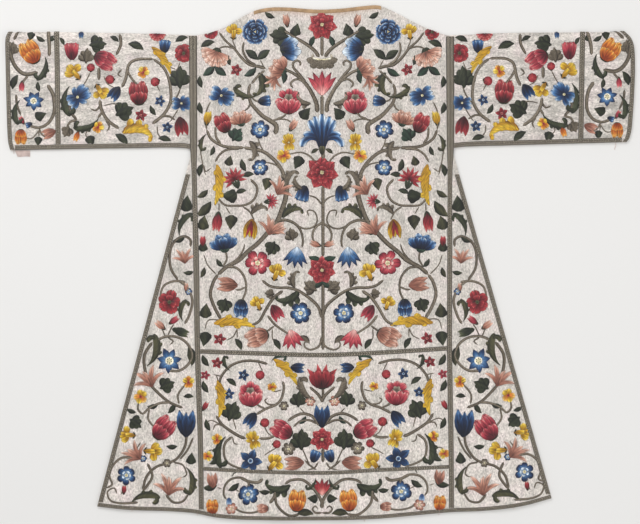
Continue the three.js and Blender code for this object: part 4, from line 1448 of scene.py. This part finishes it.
BODY_SILK = "Silver silk, warp down the body"
SLEEVE_SILK = "Silver silk, warp along the sleeves"
BRAID = "Woven silver braid, tarnished"
FLOSS = "Floss silk, long and short stitch"
SILVER_THREAD = "Silver thread, couched"
TAPE = "Silk tape, worn"
LINING = "Lining, plain woven silk"
FLOOR = "Floor, matt paint"
FINISHES = {  # finish: the function that makes it, and what it is given
    BODY_SILK: (silver_silk, {"turn": 0, "strength": 0.15}),
    SLEEVE_SILK: (silver_silk, {"turn": 90, "strength": 0.3}),
    BRAID: (silver_braid, {}),
    FLOSS: (stitches, {"width": 2.0, "length": 14.29, "contrast": 0.65, "depth": 0.4,
                       "Metallic": 0.0, "Roughness": 0.5, "Sheen_Weight": 0.08}),
    SILVER_THREAD: (stitches, {"width": 1.667, "length": 3.333, "contrast": 0.55, "depth": 0.5,
                               "Metallic": 0.3, "Roughness": 0.45, "Sheen_Weight": 0.0}),
    TAPE: (plain_cloth, {"colour": "tape", "weave": 1.111, "Roughness": 0.7}),
    LINING: (plain_cloth, {"colour": "lining", "weave": 0.909, "Roughness": 0.85}),
}


def finish(name):
    """One of the garment's finishes, made on its first use."""
    if name not in bpy.data.materials:
        make, values = FINISHES[name]
        make(name, bpy.context.scene.dalmatic_colours, **values)
    return bpy.data.materials[name]


# ---- What a user would change ----
def a_colour(name, description, code):
    """A colour that a user can change, given as an sRGB hex value."""
    return FloatVectorProperty(
        name=name, description=description, default=linear(code), min=0, max=1, subtype="COLOR"
    )


def a_length(name, description, metres):
    """A length that a user can change."""
    return FloatProperty(name=name, description=description, default=metres, unit="LENGTH")


class DalmaticColours(bpy.types.PropertyGroup):
    silk: a_colour("Silk", "Ground silk", "#dad2ca")
    silk_shade: a_colour("Silk, tarnished", "Tarnished patches of the silk", "#c3beb5")
    silk_pink: a_colour("Silk, pinkish", "Less tarnished patches of the silk", "#e1d3cf")
    worn: a_colour("Silk, worn", "Silk worn down by the neck edge", "#c4a48c")
    braid: a_colour("Braid", "Middle tone of the braid", "#5f574b")
    braid_shade: a_colour("Braid, hollows", "Hollows of the braid's weave", "#3a342b")
    braid_light: a_colour("Braid, ridges", "Ridges of the braid's weave", "#b8ae9d")
    tape: a_colour("Neck tape", "Worn binding of the neck edge", "#b2916d")
    lining: a_colour("Lining", "Plain cloth inside", "#cdb9b2")
    floor: a_colour("Floor", "Plain floor", "#f1f0ee")
    chevron: a_length("Chevron", "Repeat of the braid's weave", 0.0052)


class DalmaticCloth(bpy.types.PropertyGroup):
    cell: a_length("Mesh step", "Step of the cloth mesh", 0.006)
    fold_steps: IntProperty(name="Fold steps", description="Steps round a sleeve's fold", default=14, min=6)


class DalmaticBraid(bpy.types.PropertyGroup):
    height: a_length("Height", "Braid above the cloth", 0.0017)
    edge: a_length("Edge height", "Braid's edges above the cloth", 0.0009)
    cell: a_length("Mesh step", "Step of the mesh along the braid", 0.007)


class DalmaticNeedlework(bpy.types.PropertyGroup):
    seed: IntProperty(name="Seed", description="Seed of the small differences by hand", default=1700)
    sway: FloatProperty(
        name="Sway", description="How far the right half's motifs turn from the left's",
        default=math.radians(4), subtype="ANGLE",
    )
    growth: FloatProperty(name="Growth", description="Share by which motifs differ in size", default=0.03)


class DalmaticStage(bpy.types.PropertyGroup):
    floor_size: a_length("Floor", "Side of the floor", 8.0)
    camera_height: a_length("Camera height", "Camera above the floor", 3.735)
    camera_x: a_length("Camera across", "Camera to the right of the middle", -0.0042)
    camera_y: a_length("Camera along", "Camera from the middle towards the neck", 0.0021)
    lens: FloatProperty(name="Lens", description="Focal length", default=100.0, unit="CAMERA")
    key: FloatProperty(
        name="Key light", description="Power of the soft light above the neck", default=42.0, unit="POWER"
    )
    fill: FloatProperty(
        name="Fill light", description="Power of the fill light", default=16.0, unit="POWER"
    )
    sky: FloatProperty(name="Sky", description="Strength of the even light from all round", default=0.62)


# ---- Cloth ----
def cloth(name, outer, inner, silk, node):
    """A wall of cloth between two grids of points, in place of its solid."""
    piece = new_piece(name, *wall(outer, inner), finish(silk), "silver_silk")
    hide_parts(node)
    return piece


def upper_panel(name, node, edges, cell):
    """A panel of the back layer, inside four edges, and its area."""
    x, y = panel_plan(*edges, cell / MM)
    outer = np.stack([x, y, face(x, y)], -1)
    piece = cloth(name, outer, outer - [0, 0, CLOTH], BODY_SILK, node)
    if node == "back_panel":  # the neck edge is worn down to the warp
        share = np.exp(-(((top_edge(x) - y) / 11) ** 2)) * np.exp(-(((x + 10) / 120) ** 6))
        layer = piece.data.attributes.new("wear", "FLOAT", "POINT")
        layer.data.foreach_set("value", np.tile(0.85 * share.ravel(), 2).astype(np.float32))
    return piece, plan_area(x, y)


def ground_panel(name, node, edges, cell):
    """A panel of the front layer, which lies on the floor, and its area."""
    x, y = panel_plan(*edges, cell / MM)
    outer = np.stack([x, y, np.full(x.shape, CLOTH)], -1)
    return cloth(name, outer, outer * [1, 1, 0], BODY_SILK, node), plan_area(x, y)


def folded(side, left, right, shares, lift, steps, foot_by=0.0, turned=1.0, under=True):
    """Points of a sleeve's section, lifted off its face: from the lower edge up to the fold, round it
    by a share of the half turn and, if under, back down below. shares are spots from left to right."""
    up, over = steps
    rise = np.linspace(0, 1, up + 1)[:, None]
    turn = np.linspace(0, turned * math.pi, over + 1)[1:, None]
    back = np.linspace(0, 1, up // 2 + 1)[1:, None] if under else np.zeros((0, 1))
    a, b = len(rise), len(rise) + len(turn)
    y = np.full((1, len(shares)), SLEEVE_MIDDLE)
    x = mix(left(y), right(y), shares[None, :])
    for _ in range(5):
        parts = *fold_of(side, x), sleeve_foot[side](x) + foot_by
        r, c, f = (np.broadcast_to(part, (b + len(back), len(shares))) for part in parts)
        bow = c[a:b] + r[a:b] * np.sin(turn)
        y = np.concatenate([mix(f[:a], c[:a], rise), bow, mix(c[b:], f[b:], back)])
        x = mix(left(y), right(y), shares[None, :])
    r, c = fold_of(side, x)
    y = np.concatenate([y[:a], c[a:b] + (r[a:b] + lift[None, :]) * np.sin(turn), y[b:]])
    z = np.concatenate([
        face(x[:a], y[:a]) + lift, r[a:b] + (r[a:b] + lift) * np.cos(turn), 0 * y[b:] - lift,
    ])
    return np.stack([x, y, z], -1)


def sleeve_cloth(name, node, side, left, right, settings):
    """A sleeve's wall, with its flat size and its area laid flat."""
    wide = abs(float(right(SLEEVE_MIDDLE) - left(SLEEVE_MIDDLE)))
    shares = np.linspace(0, 1, round(wide * MM / settings.cell) + 1)
    steps = (round(SLEEVE_HEIGHT * MM / settings.cell), settings.fold_steps)
    outer, inner = (folded(side, left, right, shares, 0 * shares - depth, steps) for depth in (0, CLOTH))
    cloth(name, outer, inner, SLEEVE_SILK, node)
    down = np.linalg.norm(np.diff(outer, axis=0), axis=2).sum(0)
    return (wide * MM, float(down.max()) * MM), float(np.mean(down) * wide) * MM * MM


# ---- Braid ----
# Section of a braid: spots from edge to edge, and the share of its height there
BRAID_SECTION = (
    (-1, 0), (-0.84, 0.55), (-0.45, 1), (-0.1, 0.4), (0.1, 0.4), (0.45, 1), (0.84, 0.55), (1, 0),
)
SPOTS, SHARES = np.array(BRAID_SECTION).T
BRAID_LIFT = 0.12  # between a braid's underside and the cloth
RISING_STEPS = 10  # round the part of a sleeve's fold that a braid covers


def braid_piece(name, side_points, settings):
    """A braid over the solid of its name, from side_points(lift), its points at a lift for each spot."""
    low, high = settings.edge / MM, settings.height / MM
    outer = side_points(mix(low, high, SHARES))
    inner = side_points(np.full(len(SPOTS), BRAID_LIFT))
    middle = outer[:, len(SPOTS) // 2]
    run = np.concatenate([[0], np.cumsum(np.linalg.norm(np.diff(middle, axis=0), axis=1))])
    width = np.linalg.norm(outer[:, -1] - outer[:, 0], axis=1)[:, None]
    threads = np.stack(np.broadcast_arrays(SPOTS * width / 2, run[:, None], SPOTS), -1).reshape(-1, 3)
    threads = np.tile(threads, (2, 1))
    piece = new_piece(f"woven_{name}", *wall(outer, inner), finish(BRAID), "silver_braid", threads=threads)
    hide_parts(name)


def flat_braid(name, edge_a, edge_b, length, settings):
    """A braid on the back layer. The edges give x and y for a share of the length."""
    t = np.linspace(0, 1, max(2, round(length * MM / settings.cell)) + 1)[:, None]
    (ax, ay), (bx, by) = edge_a(t), edge_b(t)
    x, y = mix(ax, bx, (SPOTS + 1) / 2), mix(ay, by, (SPOTS + 1) / 2)
    braid_piece(name, lambda lift: np.stack([x, y, face(x, y) + lift], -1), settings)


def rising_braid(name, side, left, right, foot_by, settings):
    """A braid up a sleeve from its lower edge, over the fold and a little way down behind it."""
    steps = (round(SLEEVE_HEIGHT * MM / settings.cell), RISING_STEPS)
    braid_piece(
        name,
        lambda lift: folded(side, left, right, (SPOTS + 1) / 2, lift, steps, foot_by, FOLD_TURN, False),
        settings,
    )


HEM_LEAN = (0.25, -0.28)  # how far the left and the right gore's edge lean in for each millimetre up


# Edges of the flat braids: x and y for a share of the braid's length
def upright(edge, low, high):
    """Along an edge given by y, from one y to another."""
    return lambda t: (edge(mix(low, high, t)), mix(low, high, t))


def level(line, by, start, end):
    """Along a line given by x, moved up by some millimetres, from one x to another."""
    return lambda t: (mix(start, end, t), line(mix(start, end, t)) + by)


def hem_line(by, start, end):
    """Along the hem, moved up, with its ends leaning in as the gores' outer edges do."""
    def at(t):
        lean = mix(HEM_LEAN[0], HEM_LEAN[1], t) * by
        x = mix(start + np.maximum(0, lean), end - np.maximum(0, -lean), t)
        return x, hem(x) + by

    return at


# Where the braids lie
EDGE_INSET = 0.3  # an edge braid's outer edge lies this far inside the cloth's
HEM_BRAID, GORE_BRAID, CUFF_BRAID, UNDERARM_BRAID = 8.0, 9.5, 9.0, 10.0  # how far in they reach
CUFF_SEAM_BRAID = 10.5  # width of the braid over a cuff's seam
CUFF_SEAM_FOOT = 10.65  # it starts this far up, above the underarm braid
HEM_BRAID_INSET = 0.5  # at each end, from the gores' corners
GORE_BRAID_FOOT, GORE_BRAID_TOP = 9.2, 186.0  # above the gore's outer corner, and y at the top
CROSS_BRAIDS = (("waist_braid", waist, 9.0), ("border_braid", border, 7.5))  # with their widths
SEAM_BRAIDS = (  # edges, and y at the hem and at the shoulder
    ("seam_braid_left", left_out, left_in, -516.65, 476.5),
    ("seam_braid_right", right_in, right_out, -513.65, 475.5),
)
UNDERARM_Y, SEAM_X = 245.0, 260.0  # roughly where the sleeves' lower edges and the seams are

# Section of the neck's tape: how far back from the neck edge, height over the cloth and how far down
TAPE_SECTION = (
    (7.0, 0.5, 0), (6.2, 1.2, 0), (3.5, 1.5, 0), (1.2, 1.4, 0), (0.2, 1.1, 0), (0, 1.0, 1.2), (0, 0.9, 3.2),
)
TAPE_ENDS, TAPE_STEPS = (-143, 124), 90  # x at its two ends, and points along it
TAPE_UNDER = 0.15  # its underside's height over the cloth

# The tongue of lining: left and right x at its top, y at its top and at its torn foot
TAB_LEFT, TAB_RIGHT, TAB_TOP, TAB_FOOT = -645, -613, 236.15, 223.6
TAB_STEP, TAB_HEIGHT = 1.5, 1.05  # its mesh and its upper face's mean height
# Loose ends: x and y where each hangs from, direction from +X, length
LOOSE_ENDS = (
    (616, 252, -91, 14), (-648, 237, -80, 7), (-398, -516, -100, 6), (-262, -523, -84, 7),
    (-96, -537, -98, 5), (88, -536, -76, 7), (246, -524, -95, 6), (402, -511, -82, 6),
)
THREAD_RADIUS, THREAD_SIDES, THREAD_POINTS = 0.55, 6, 14

# Side, the way from it to the middle, its shoulder seam and the outer edge of the braid over that
SIDES = (("left", 1, left_seam, left_out), ("right", -1, right_seam, right_out))
FRONT_GAP = 0.8  # between a front panel's edge and the seam
GORE_TOP_GAP = 0.8  # between the top of a back gore and the underarm
FRONT_GORE_TOP = 215  # y at the top of a front gore
FLOOR_DROP = 0.2  # the floor lies this far under the cloth
CUTS = {}  # cloth: its flat size and area in metres, and what it lies on


def gore_edges(side, way, seam, inset, gap, foot, top):
    """The left, right, lower and upper edge of a gore."""
    outer, inner = moved(gore_edge(side), way * inset), moved(seam, -way * gap)
    return *(outer, inner)[::way], foot, constant(top)


def strand(path):
    """Points and faces of a thin round thread along a path."""
    ahead = np.gradient(path, axis=0)
    ahead /= np.linalg.norm(ahead, axis=1)[:, None]
    right = np.cross(ahead, [0, 0, 1])
    right /= np.linalg.norm(right, axis=1)[:, None]
    up = np.cross(right, ahead)
    angle = np.linspace(0, 2 * math.pi, THREAD_SIDES, endpoint=False)[None, :, None]
    rings = path[:, None] + THREAD_RADIUS * (np.cos(angle) * right[:, None] + np.sin(angle) * up[:, None])
    i = np.arange(len(path) * THREAD_SIDES).reshape(len(path), THREAD_SIDES)
    j = np.roll(i, -1, axis=1)
    faces = np.stack([i[:-1], j[:-1], j[1:], i[1:]], -1).reshape(-1, 4).tolist()
    return rings.reshape(-1, 3), [*faces, i[0, ::-1].tolist(), i[-1].tolist()]


class DALMATIC_OT_stage(bpy.types.Operator):
    """Sets the pale floor, the soft light and the camera that looks straight down"""

    bl_idname = "dalmatic.stage"
    bl_label = "Stage"

    def execute(self, context):
        plan, scene = context.scene.dalmatic_stage, context.scene
        half = plan.floor_size / 2
        mesh = bpy.data.meshes.new("studio_floor")
        corners = [(-half, -half), (half, -half), (half, half), (-half, half)]
        mesh.from_pydata([(x, y, -FLOOR_DROP * MM) for x, y in corners], [], [(0, 1, 2, 3)])
        floor = bpy.data.objects.new("studio_floor", mesh)
        scene.collection.objects.link(floor)
        # Matt paint spreads the light evenly, so that the floor shows no gloss
        blank(FLOOR, Roughness=0.9, Base_Color=(*scene.dalmatic_colours.floor, 1))
        mesh.materials.append(bpy.data.materials[FLOOR])

        lights = (  # name, place, size, power
            ("key", (-1.1, 1.9, 2.6), 1.8, plan.key),
            ("fill", (1.9, -0.9, 2.4), 2.6, plan.fill),
        )
        for name, place, size, power in lights:
            data = bpy.data.lights.new(name, "AREA")
            data.shape, data.size, data.energy = "SQUARE", size, power
            lamp = bpy.data.objects.new(name, data)
            lamp.location = place
            lamp.rotation_euler = Vector(place).to_track_quat("Z", "Y").to_euler()
            scene.collection.objects.link(lamp)
        world = bpy.data.worlds.new("Even light")
        world.use_nodes = True
        sky = world.node_tree.nodes["Background"]
        sky.inputs["Color"].default_value = (1, 1, 1, 1)
        sky.inputs["Strength"].default_value = plan.sky
        scene.world = world

        camera = bpy.data.objects.new("camera", bpy.data.cameras.new("camera"))
        camera.data.lens, camera.data.sensor_width = plan.lens, 36
        camera.location = (plan.camera_x, plan.camera_y, plan.camera_height)
        scene.collection.objects.link(camera)
        scene.camera = camera
        scene.view_settings.view_transform = "Standard"
        return {"FINISHED"}


class DALMATIC_OT_front(bpy.types.Operator):
    """Lays the front panel and the front gores on the floor"""

    bl_idname = "dalmatic.front"
    bl_label = "Front layer"

    def execute(self, context):
        def neckline(x):
            half, depth = FRONT_NECK
            return top_edge(x) - FRONT_INSET - depth * np.sqrt(np.clip(1 - (x / half) ** 2, 0, 1))

        foot = moved(hem, FRONT_INSET)
        across = moved(left_seam, FRONT_GAP), moved(right_seam, -FRONT_GAP)
        plans = {"front_panel": (*across, foot, neckline)}
        for side, way, seam, _ in SIDES:
            edges = gore_edges(side, way, seam, FRONT_INSET, FRONT_GAP, foot, FRONT_GORE_TOP)
            plans[f"front_gore_{side}"] = edges
        for node, edges in plans.items():
            piece, area = ground_panel(f"silk_{node}", node, edges, 2 * context.scene.dalmatic_cloth.cell)
            CUTS[piece.name] = (tuple(piece.dimensions[:2]), area, "studio_floor")
        return {"FINISHED"}


class DALMATIC_OT_back(bpy.types.Operator):
    """Lays the back panel, the apparel, the hem border and the back gores"""

    bl_idname = "dalmatic.back"
    bl_label = "Back layer"

    def execute(self, context):
        gap = GAP / 2
        across = moved(left_seam, gap), moved(right_seam, -gap)
        plans = {
            "panel": (*across, moved(waist, gap), top_edge),
            "apparel": (*across, moved(border, gap), moved(waist, -gap)),
            "border": (*across, hem, moved(border, -gap)),
        }
        for side, way, seam, _ in SIDES:
            top = GORES[side][1] - GORE_TOP_GAP
            plans[f"gore_{side}"] = gore_edges(side, way, seam, 0, gap, hem, top)
        for part, edges in plans.items():
            name = "silk_back_panel" if part == "panel" else f"silk_{part}"
            piece, area = upper_panel(name, f"back_{part}", edges, context.scene.dalmatic_cloth.cell)
            below = f"silk_front_{part}" if "gore" in part else "silk_front_panel"
            CUTS[name] = (tuple(piece.dimensions[:2]), area, below)
        return {"FINISHED"}


class DALMATIC_OT_sleeves(bpy.types.Operator):
    """Folds the sleeves and the cuffs"""

    bl_idname = "dalmatic.sleeves"
    bl_label = "Sleeves and cuffs"

    def execute(self, context):
        for part in SLEEVE_AREAS:
            for side, way, shoulder, _ in SIDES:
                name, seam, gap = f"{part}_{side}", cuff_seam(side), way * GAP / 2
                if part == "sleeve":
                    edges = moved(seam, gap), moved(shoulder, -gap)
                else:
                    edges = cuff_edge[side], moved(seam, -gap)
                cut = sleeve_cloth(f"silk_{name}", name, side, *edges[::way], context.scene.dalmatic_cloth)
                CUTS[f"silk_{name}"] = (*cut, "studio_floor")
        return {"FINISHED"}


class DALMATIC_OT_braid(bpy.types.Operator):
    """Sews the silver braid over the seams and along the edges"""

    bl_idname = "dalmatic.braid"
    bl_label = "Braid"

    def execute(self, context):
        how = context.scene.dalmatic_braid
        for name, edge_a, edge_b, low, high in SEAM_BRAIDS:
            flat_braid(name, upright(edge_a, low, high), upright(edge_b, low, high), high - low, how)
        for name, line, width in CROSS_BRAIDS:
            ends = float(left_in(line(-SEAM_X))) + GAP, float(right_in(line(SEAM_X))) - GAP
            edges = level(line, width / 2, *ends), level(line, -width / 2, *ends)
            flat_braid(name, *edges, ends[1] - ends[0], how)
        ends = GORES["left"][2] + HEM_BRAID_INSET, GORES["right"][2] - HEM_BRAID_INSET
        edges = hem_line(HEM_BRAID, *ends), hem_line(EDGE_INSET, *ends)
        flat_braid("hem_braid", *edges, ends[1] - ends[0], how)

        for side, way, _, sleeve_end in SIDES:
            edge, low, high = gore_edge(side), GORES[side][3] + GORE_BRAID_FOOT, GORE_BRAID_TOP
            edges = [upright(moved(edge, way * by), low, high) for by in (EDGE_INSET, GORE_BRAID)]
            flat_braid(f"gore_braid_{side}", *edges[::way], high - low, how)
            cuff = [moved(cuff_edge[side], way * by) for by in (EDGE_INSET, CUFF_BRAID)]
            rising_braid(f"cuff_braid_{side}", side, *cuff[::way], EDGE_INSET, how)
            seam = [moved(cuff_seam(side), by) for by in (-CUFF_SEAM_BRAID / 2, CUFF_SEAM_BRAID / 2)]
            rising_braid(f"cuff_seam_braid_{side}", side, *seam, CUFF_SEAM_FOOT, how)
            inner, foot = cuff[1], sleeve_foot[side]
            start = float(inner(foot(inner(UNDERARM_Y)))) + way * 2 * GAP
            end = float(sleeve_end(UNDERARM_Y)) - way * GAP
            ends = sorted((start, end))
            edges = level(foot, UNDERARM_BRAID, *ends), level(foot, EDGE_INSET, *ends)
            flat_braid(f"underarm_braid_{side}", *edges, ends[1] - ends[0], how)
        return {"FINISHED"}


class DALMATIC_OT_binding(bpy.types.Operator):
    """Binds the neck edge with a worn silk tape"""

    bl_idname = "dalmatic.binding"
    bl_label = "Neck binding"

    def execute(self, context):
        x = np.linspace(*TAPE_ENDS, TAPE_STEPS)

        def tape(under):
            rows = []
            for back, lift, drop in TAPE_SECTION:
                lift = TAPE_UNDER if under else lift
                out, up = (0, lift) if back else (lift, -drop)
                rows.append(np.stack([x, top_edge(x) - back + out, face(x, top_edge(x) - back) + up], -1))
            return np.stack(rows)

        piece = new_piece("tape_neck_binding", *wall(tape(False), tape(True)), finish(TAPE), "neck_binding")
        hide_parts("neck_binding")
        return {"FINISHED"}


class DALMATIC_OT_loose(bpy.types.Operator):
    """Lays the tongue of lining below the left cuff and the loose threads along the edges"""

    bl_idname = "dalmatic.loose"
    bl_label = "Tab and loose threads"

    def execute(self, context):
        def left(y):
            return TAB_LEFT + 5 * (TAB_TOP - np.asarray(y, float)) / 12

        def torn_foot(x):
            return TAB_FOOT + 0.5 * np.sin(np.asarray(x, float) / 4)

        x, y = panel_plan(left, constant(TAB_RIGHT), torn_foot, constant(TAB_TOP), TAB_STEP)
        outer = np.stack([x, y, TAB_HEIGHT + 0.15 * np.sin(x / 3 + y / 5)], -1)
        tab = new_piece("lining_tab", *wall(outer, outer * [1, 1, 0]), finish(LINING), "plain_cloth")
        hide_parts("cuff_tab")
        CUTS["lining_tab"] = (tuple(tab.dimensions[:2]), plan_area(x, y), "studio_floor")

        points, faces, count = [], [], 0
        t = np.linspace(0, 1, THREAD_POINTS)
        for x, y, turn, length in LOOSE_ENDS:
            c, s = math.cos(math.radians(turn)), math.sin(math.radians(turn))
            bow = 0.06 * length * np.sin(t * 5)
            height = mix(float(face(x, y)) + 1.9 + THREAD_RADIUS, THREAD_RADIUS, np.minimum(t * 2.4, 1))
            path = np.stack([x + c * length * t - s * bow, y + s * length * t + c * bow, height], -1)
            rings, quads = strand(path)
            points.append(rings)
            faces += [[corner + count for corner in quad] for quad in quads]
            count += len(rings)
        mesh = bpy.data.meshes.new("loose_threads")
        mesh.from_pydata((np.concatenate(points) * MM).tolist(), [], faces)
        threads = bpy.data.objects.new("loose_threads", mesh)
        context.scene.collection.objects.link(threads)
        mesh.materials.append(finish(LINING))
        mesh.shade_smooth()
        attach(threads, "root")
        return {"FINISHED"}


AREA_CLOTHS = {  # embroidered area: the cloth under it
    "back_panel": "silk_back_panel", "apparel": "silk_apparel", "border": "silk_border",
    "gore": "silk_gore", "sleeve": "silk_sleeve", "cuff": "silk_cuff",
}


class DALMATIC_OT_embroidery(bpy.types.Operator):
    """Works the flowers, the leaves and the couched silver stems on every panel of the back layer"""

    bl_idname = "dalmatic.embroidery"
    bl_label = "Embroidery"

    def execute(self, context):
        settings = context.scene.dalmatic_needlework
        for number, area in enumerate(AREA_CLOTHS):
            for side in (None,) if area in MIDDLE_AREAS else ("left", "right"):
                self.work_area(area, side, settings, settings.seed + 10 * number)
        return {"FINISHED"}

    def work_area(self, area, side, settings, seed):
        """Works one side's area, or the left and the right half of one that lies in the middle."""
        works = {kind: Needlework(seed + k) for k, kind in enumerate(("flowers", "leaves", "silver"))}
        chance = np.random.default_rng(seed + 5)
        ways = {None: (1, -1), "left": (1,), "right": (-1,)}[side]
        for row in MOTIFS[area].strip().split("\n"):
            kind, silk, *numbers = row.split()
            x, y, turn, size = (float(value) for value in numbers)
            leafy = MOTIF_KINDS[kind] in LEAVES
            work = works["silver" if silk == "silver" else "leaves" if leafy else "flowers"]
            for way in ways if x else (1,):
                if way > 0:
                    work.place(x, y, turn, way, size, silk)
                else:
                    sway = chance.uniform(-1, 1) * math.degrees(settings.sway)
                    growth = chance.uniform(-1, 1) * settings.growth
                    there = other_half(area, x, y)
                    work.place(*there, 180 - turn + sway, way, size * (1 + growth), silk)
                MOTIF_KINDS[kind](work)
        for row in STEMS[area].strip().split("\n"):
            widths, points = row.split(":")
            places = [tuple(float(value) for value in point.split()) for point in points.split(",")]
            middle = all(abs(x) < 5 for x, _ in places)
            for way in (1,) if middle else ways:
                path = places if way > 0 else [other_half(area, x, y) for x, y in places]
                works["silver"].stem(path, *(float(width) for width in widths.split()))
        suffix = f"_{side}" if side else ""
        fold = side if area in SLEEVE_AREAS else None
        edges = area_edges(area, side)
        for kind, work in works.items():
            if not work.patches:
                continue
            thread, slot = (SILVER_THREAD, "silver_braid") if kind == "silver" else (FLOSS, "silver_silk")
            work.piece(f"{area}{suffix}_{kind}", finish(thread), slot, edges, fold)


class DALMATIC_OT_cuts(bpy.types.Operator):
    """Gathers, for every cloth in CUTS, the braid and embroidery pieces sewn to it, but keeps nothing"""

    bl_idname = "dalmatic.cuts"
    bl_label = "Cuts"

    def execute(self, context):
        pieces = bpy.data.objects
        sewn = {name: [] for name in CUTS}
        for area, below in AREA_CLOTHS.items():
            for piece in pieces:
                if piece.name.startswith(area) and piece.name.endswith(("_flowers", "_leaves", "_silver")):
                    side = next((s for s in ("_left", "_right") if s in piece.name), "")
                    sewn[below + side].append(piece)
        names = {
            "silk_back_panel": ("woven_seam_braid_left", "woven_seam_braid_right", "woven_waist_braid",
                                "tape_neck_binding"),
            "silk_border": ("woven_hem_braid", "woven_border_braid"),
        }
        for side, *_ in SIDES:
            names[f"silk_gore_{side}"] = (f"woven_gore_braid_{side}",)
            names[f"silk_cuff_{side}"] = (f"woven_cuff_braid_{side}",)
            names[f"silk_sleeve_{side}"] = (f"woven_cuff_seam_braid_{side}", f"woven_underarm_braid_{side}")
        for name, braids in names.items():
            sewn[name] += [pieces[braid] for braid in braids]
        return {"FINISHED"}


OPERATORS = (
    DALMATIC_OT_stage, DALMATIC_OT_front, DALMATIC_OT_back, DALMATIC_OT_sleeves, DALMATIC_OT_braid,
    DALMATIC_OT_binding, DALMATIC_OT_loose, DALMATIC_OT_embroidery, DALMATIC_OT_cuts,
)
SETTINGS = {
    "dalmatic_colours": DalmaticColours, "dalmatic_cloth": DalmaticCloth,
    "dalmatic_braid": DalmaticBraid, "dalmatic_needlework": DalmaticNeedlework,
    "dalmatic_stage": DalmaticStage,
}


class DALMATIC_PT_panel(bpy.types.Panel):
    """Lists the pieces of the dalmatic and their settings"""

    bl_idname = "DALMATIC_PT_panel"
    bl_label = "Dalmatic"
    bl_space_type = "VIEW_3D"
    bl_region_type = "UI"
    bl_category = "Dalmatic"

    def draw(self, context):
        for kind in OPERATORS:
            self.layout.operator(kind.bl_idname)
        for name in SETTINGS:
            box = self.layout.box()
            group = getattr(context.scene, name)
            for key in group.__annotations__:
                box.prop(group, key)


CLASSES = (*SETTINGS.values(), *OPERATORS, DALMATIC_PT_panel)


def register():
    for kind in CLASSES:
        bpy.utils.register_class(kind)
    for name, group in SETTINGS.items():
        setattr(bpy.types.Scene, name, PointerProperty(type=group))


def unregister():
    for name in SETTINGS:
        delattr(bpy.types.Scene, name)
    for kind in reversed(CLASSES):
        bpy.utils.unregister_class(kind)


def main():
    register()
    for kind in OPERATORS:
        group, name = kind.bl_idname.split(".")
        getattr(getattr(bpy.ops, group), name)()


if __name__ == "__main__":
    main()
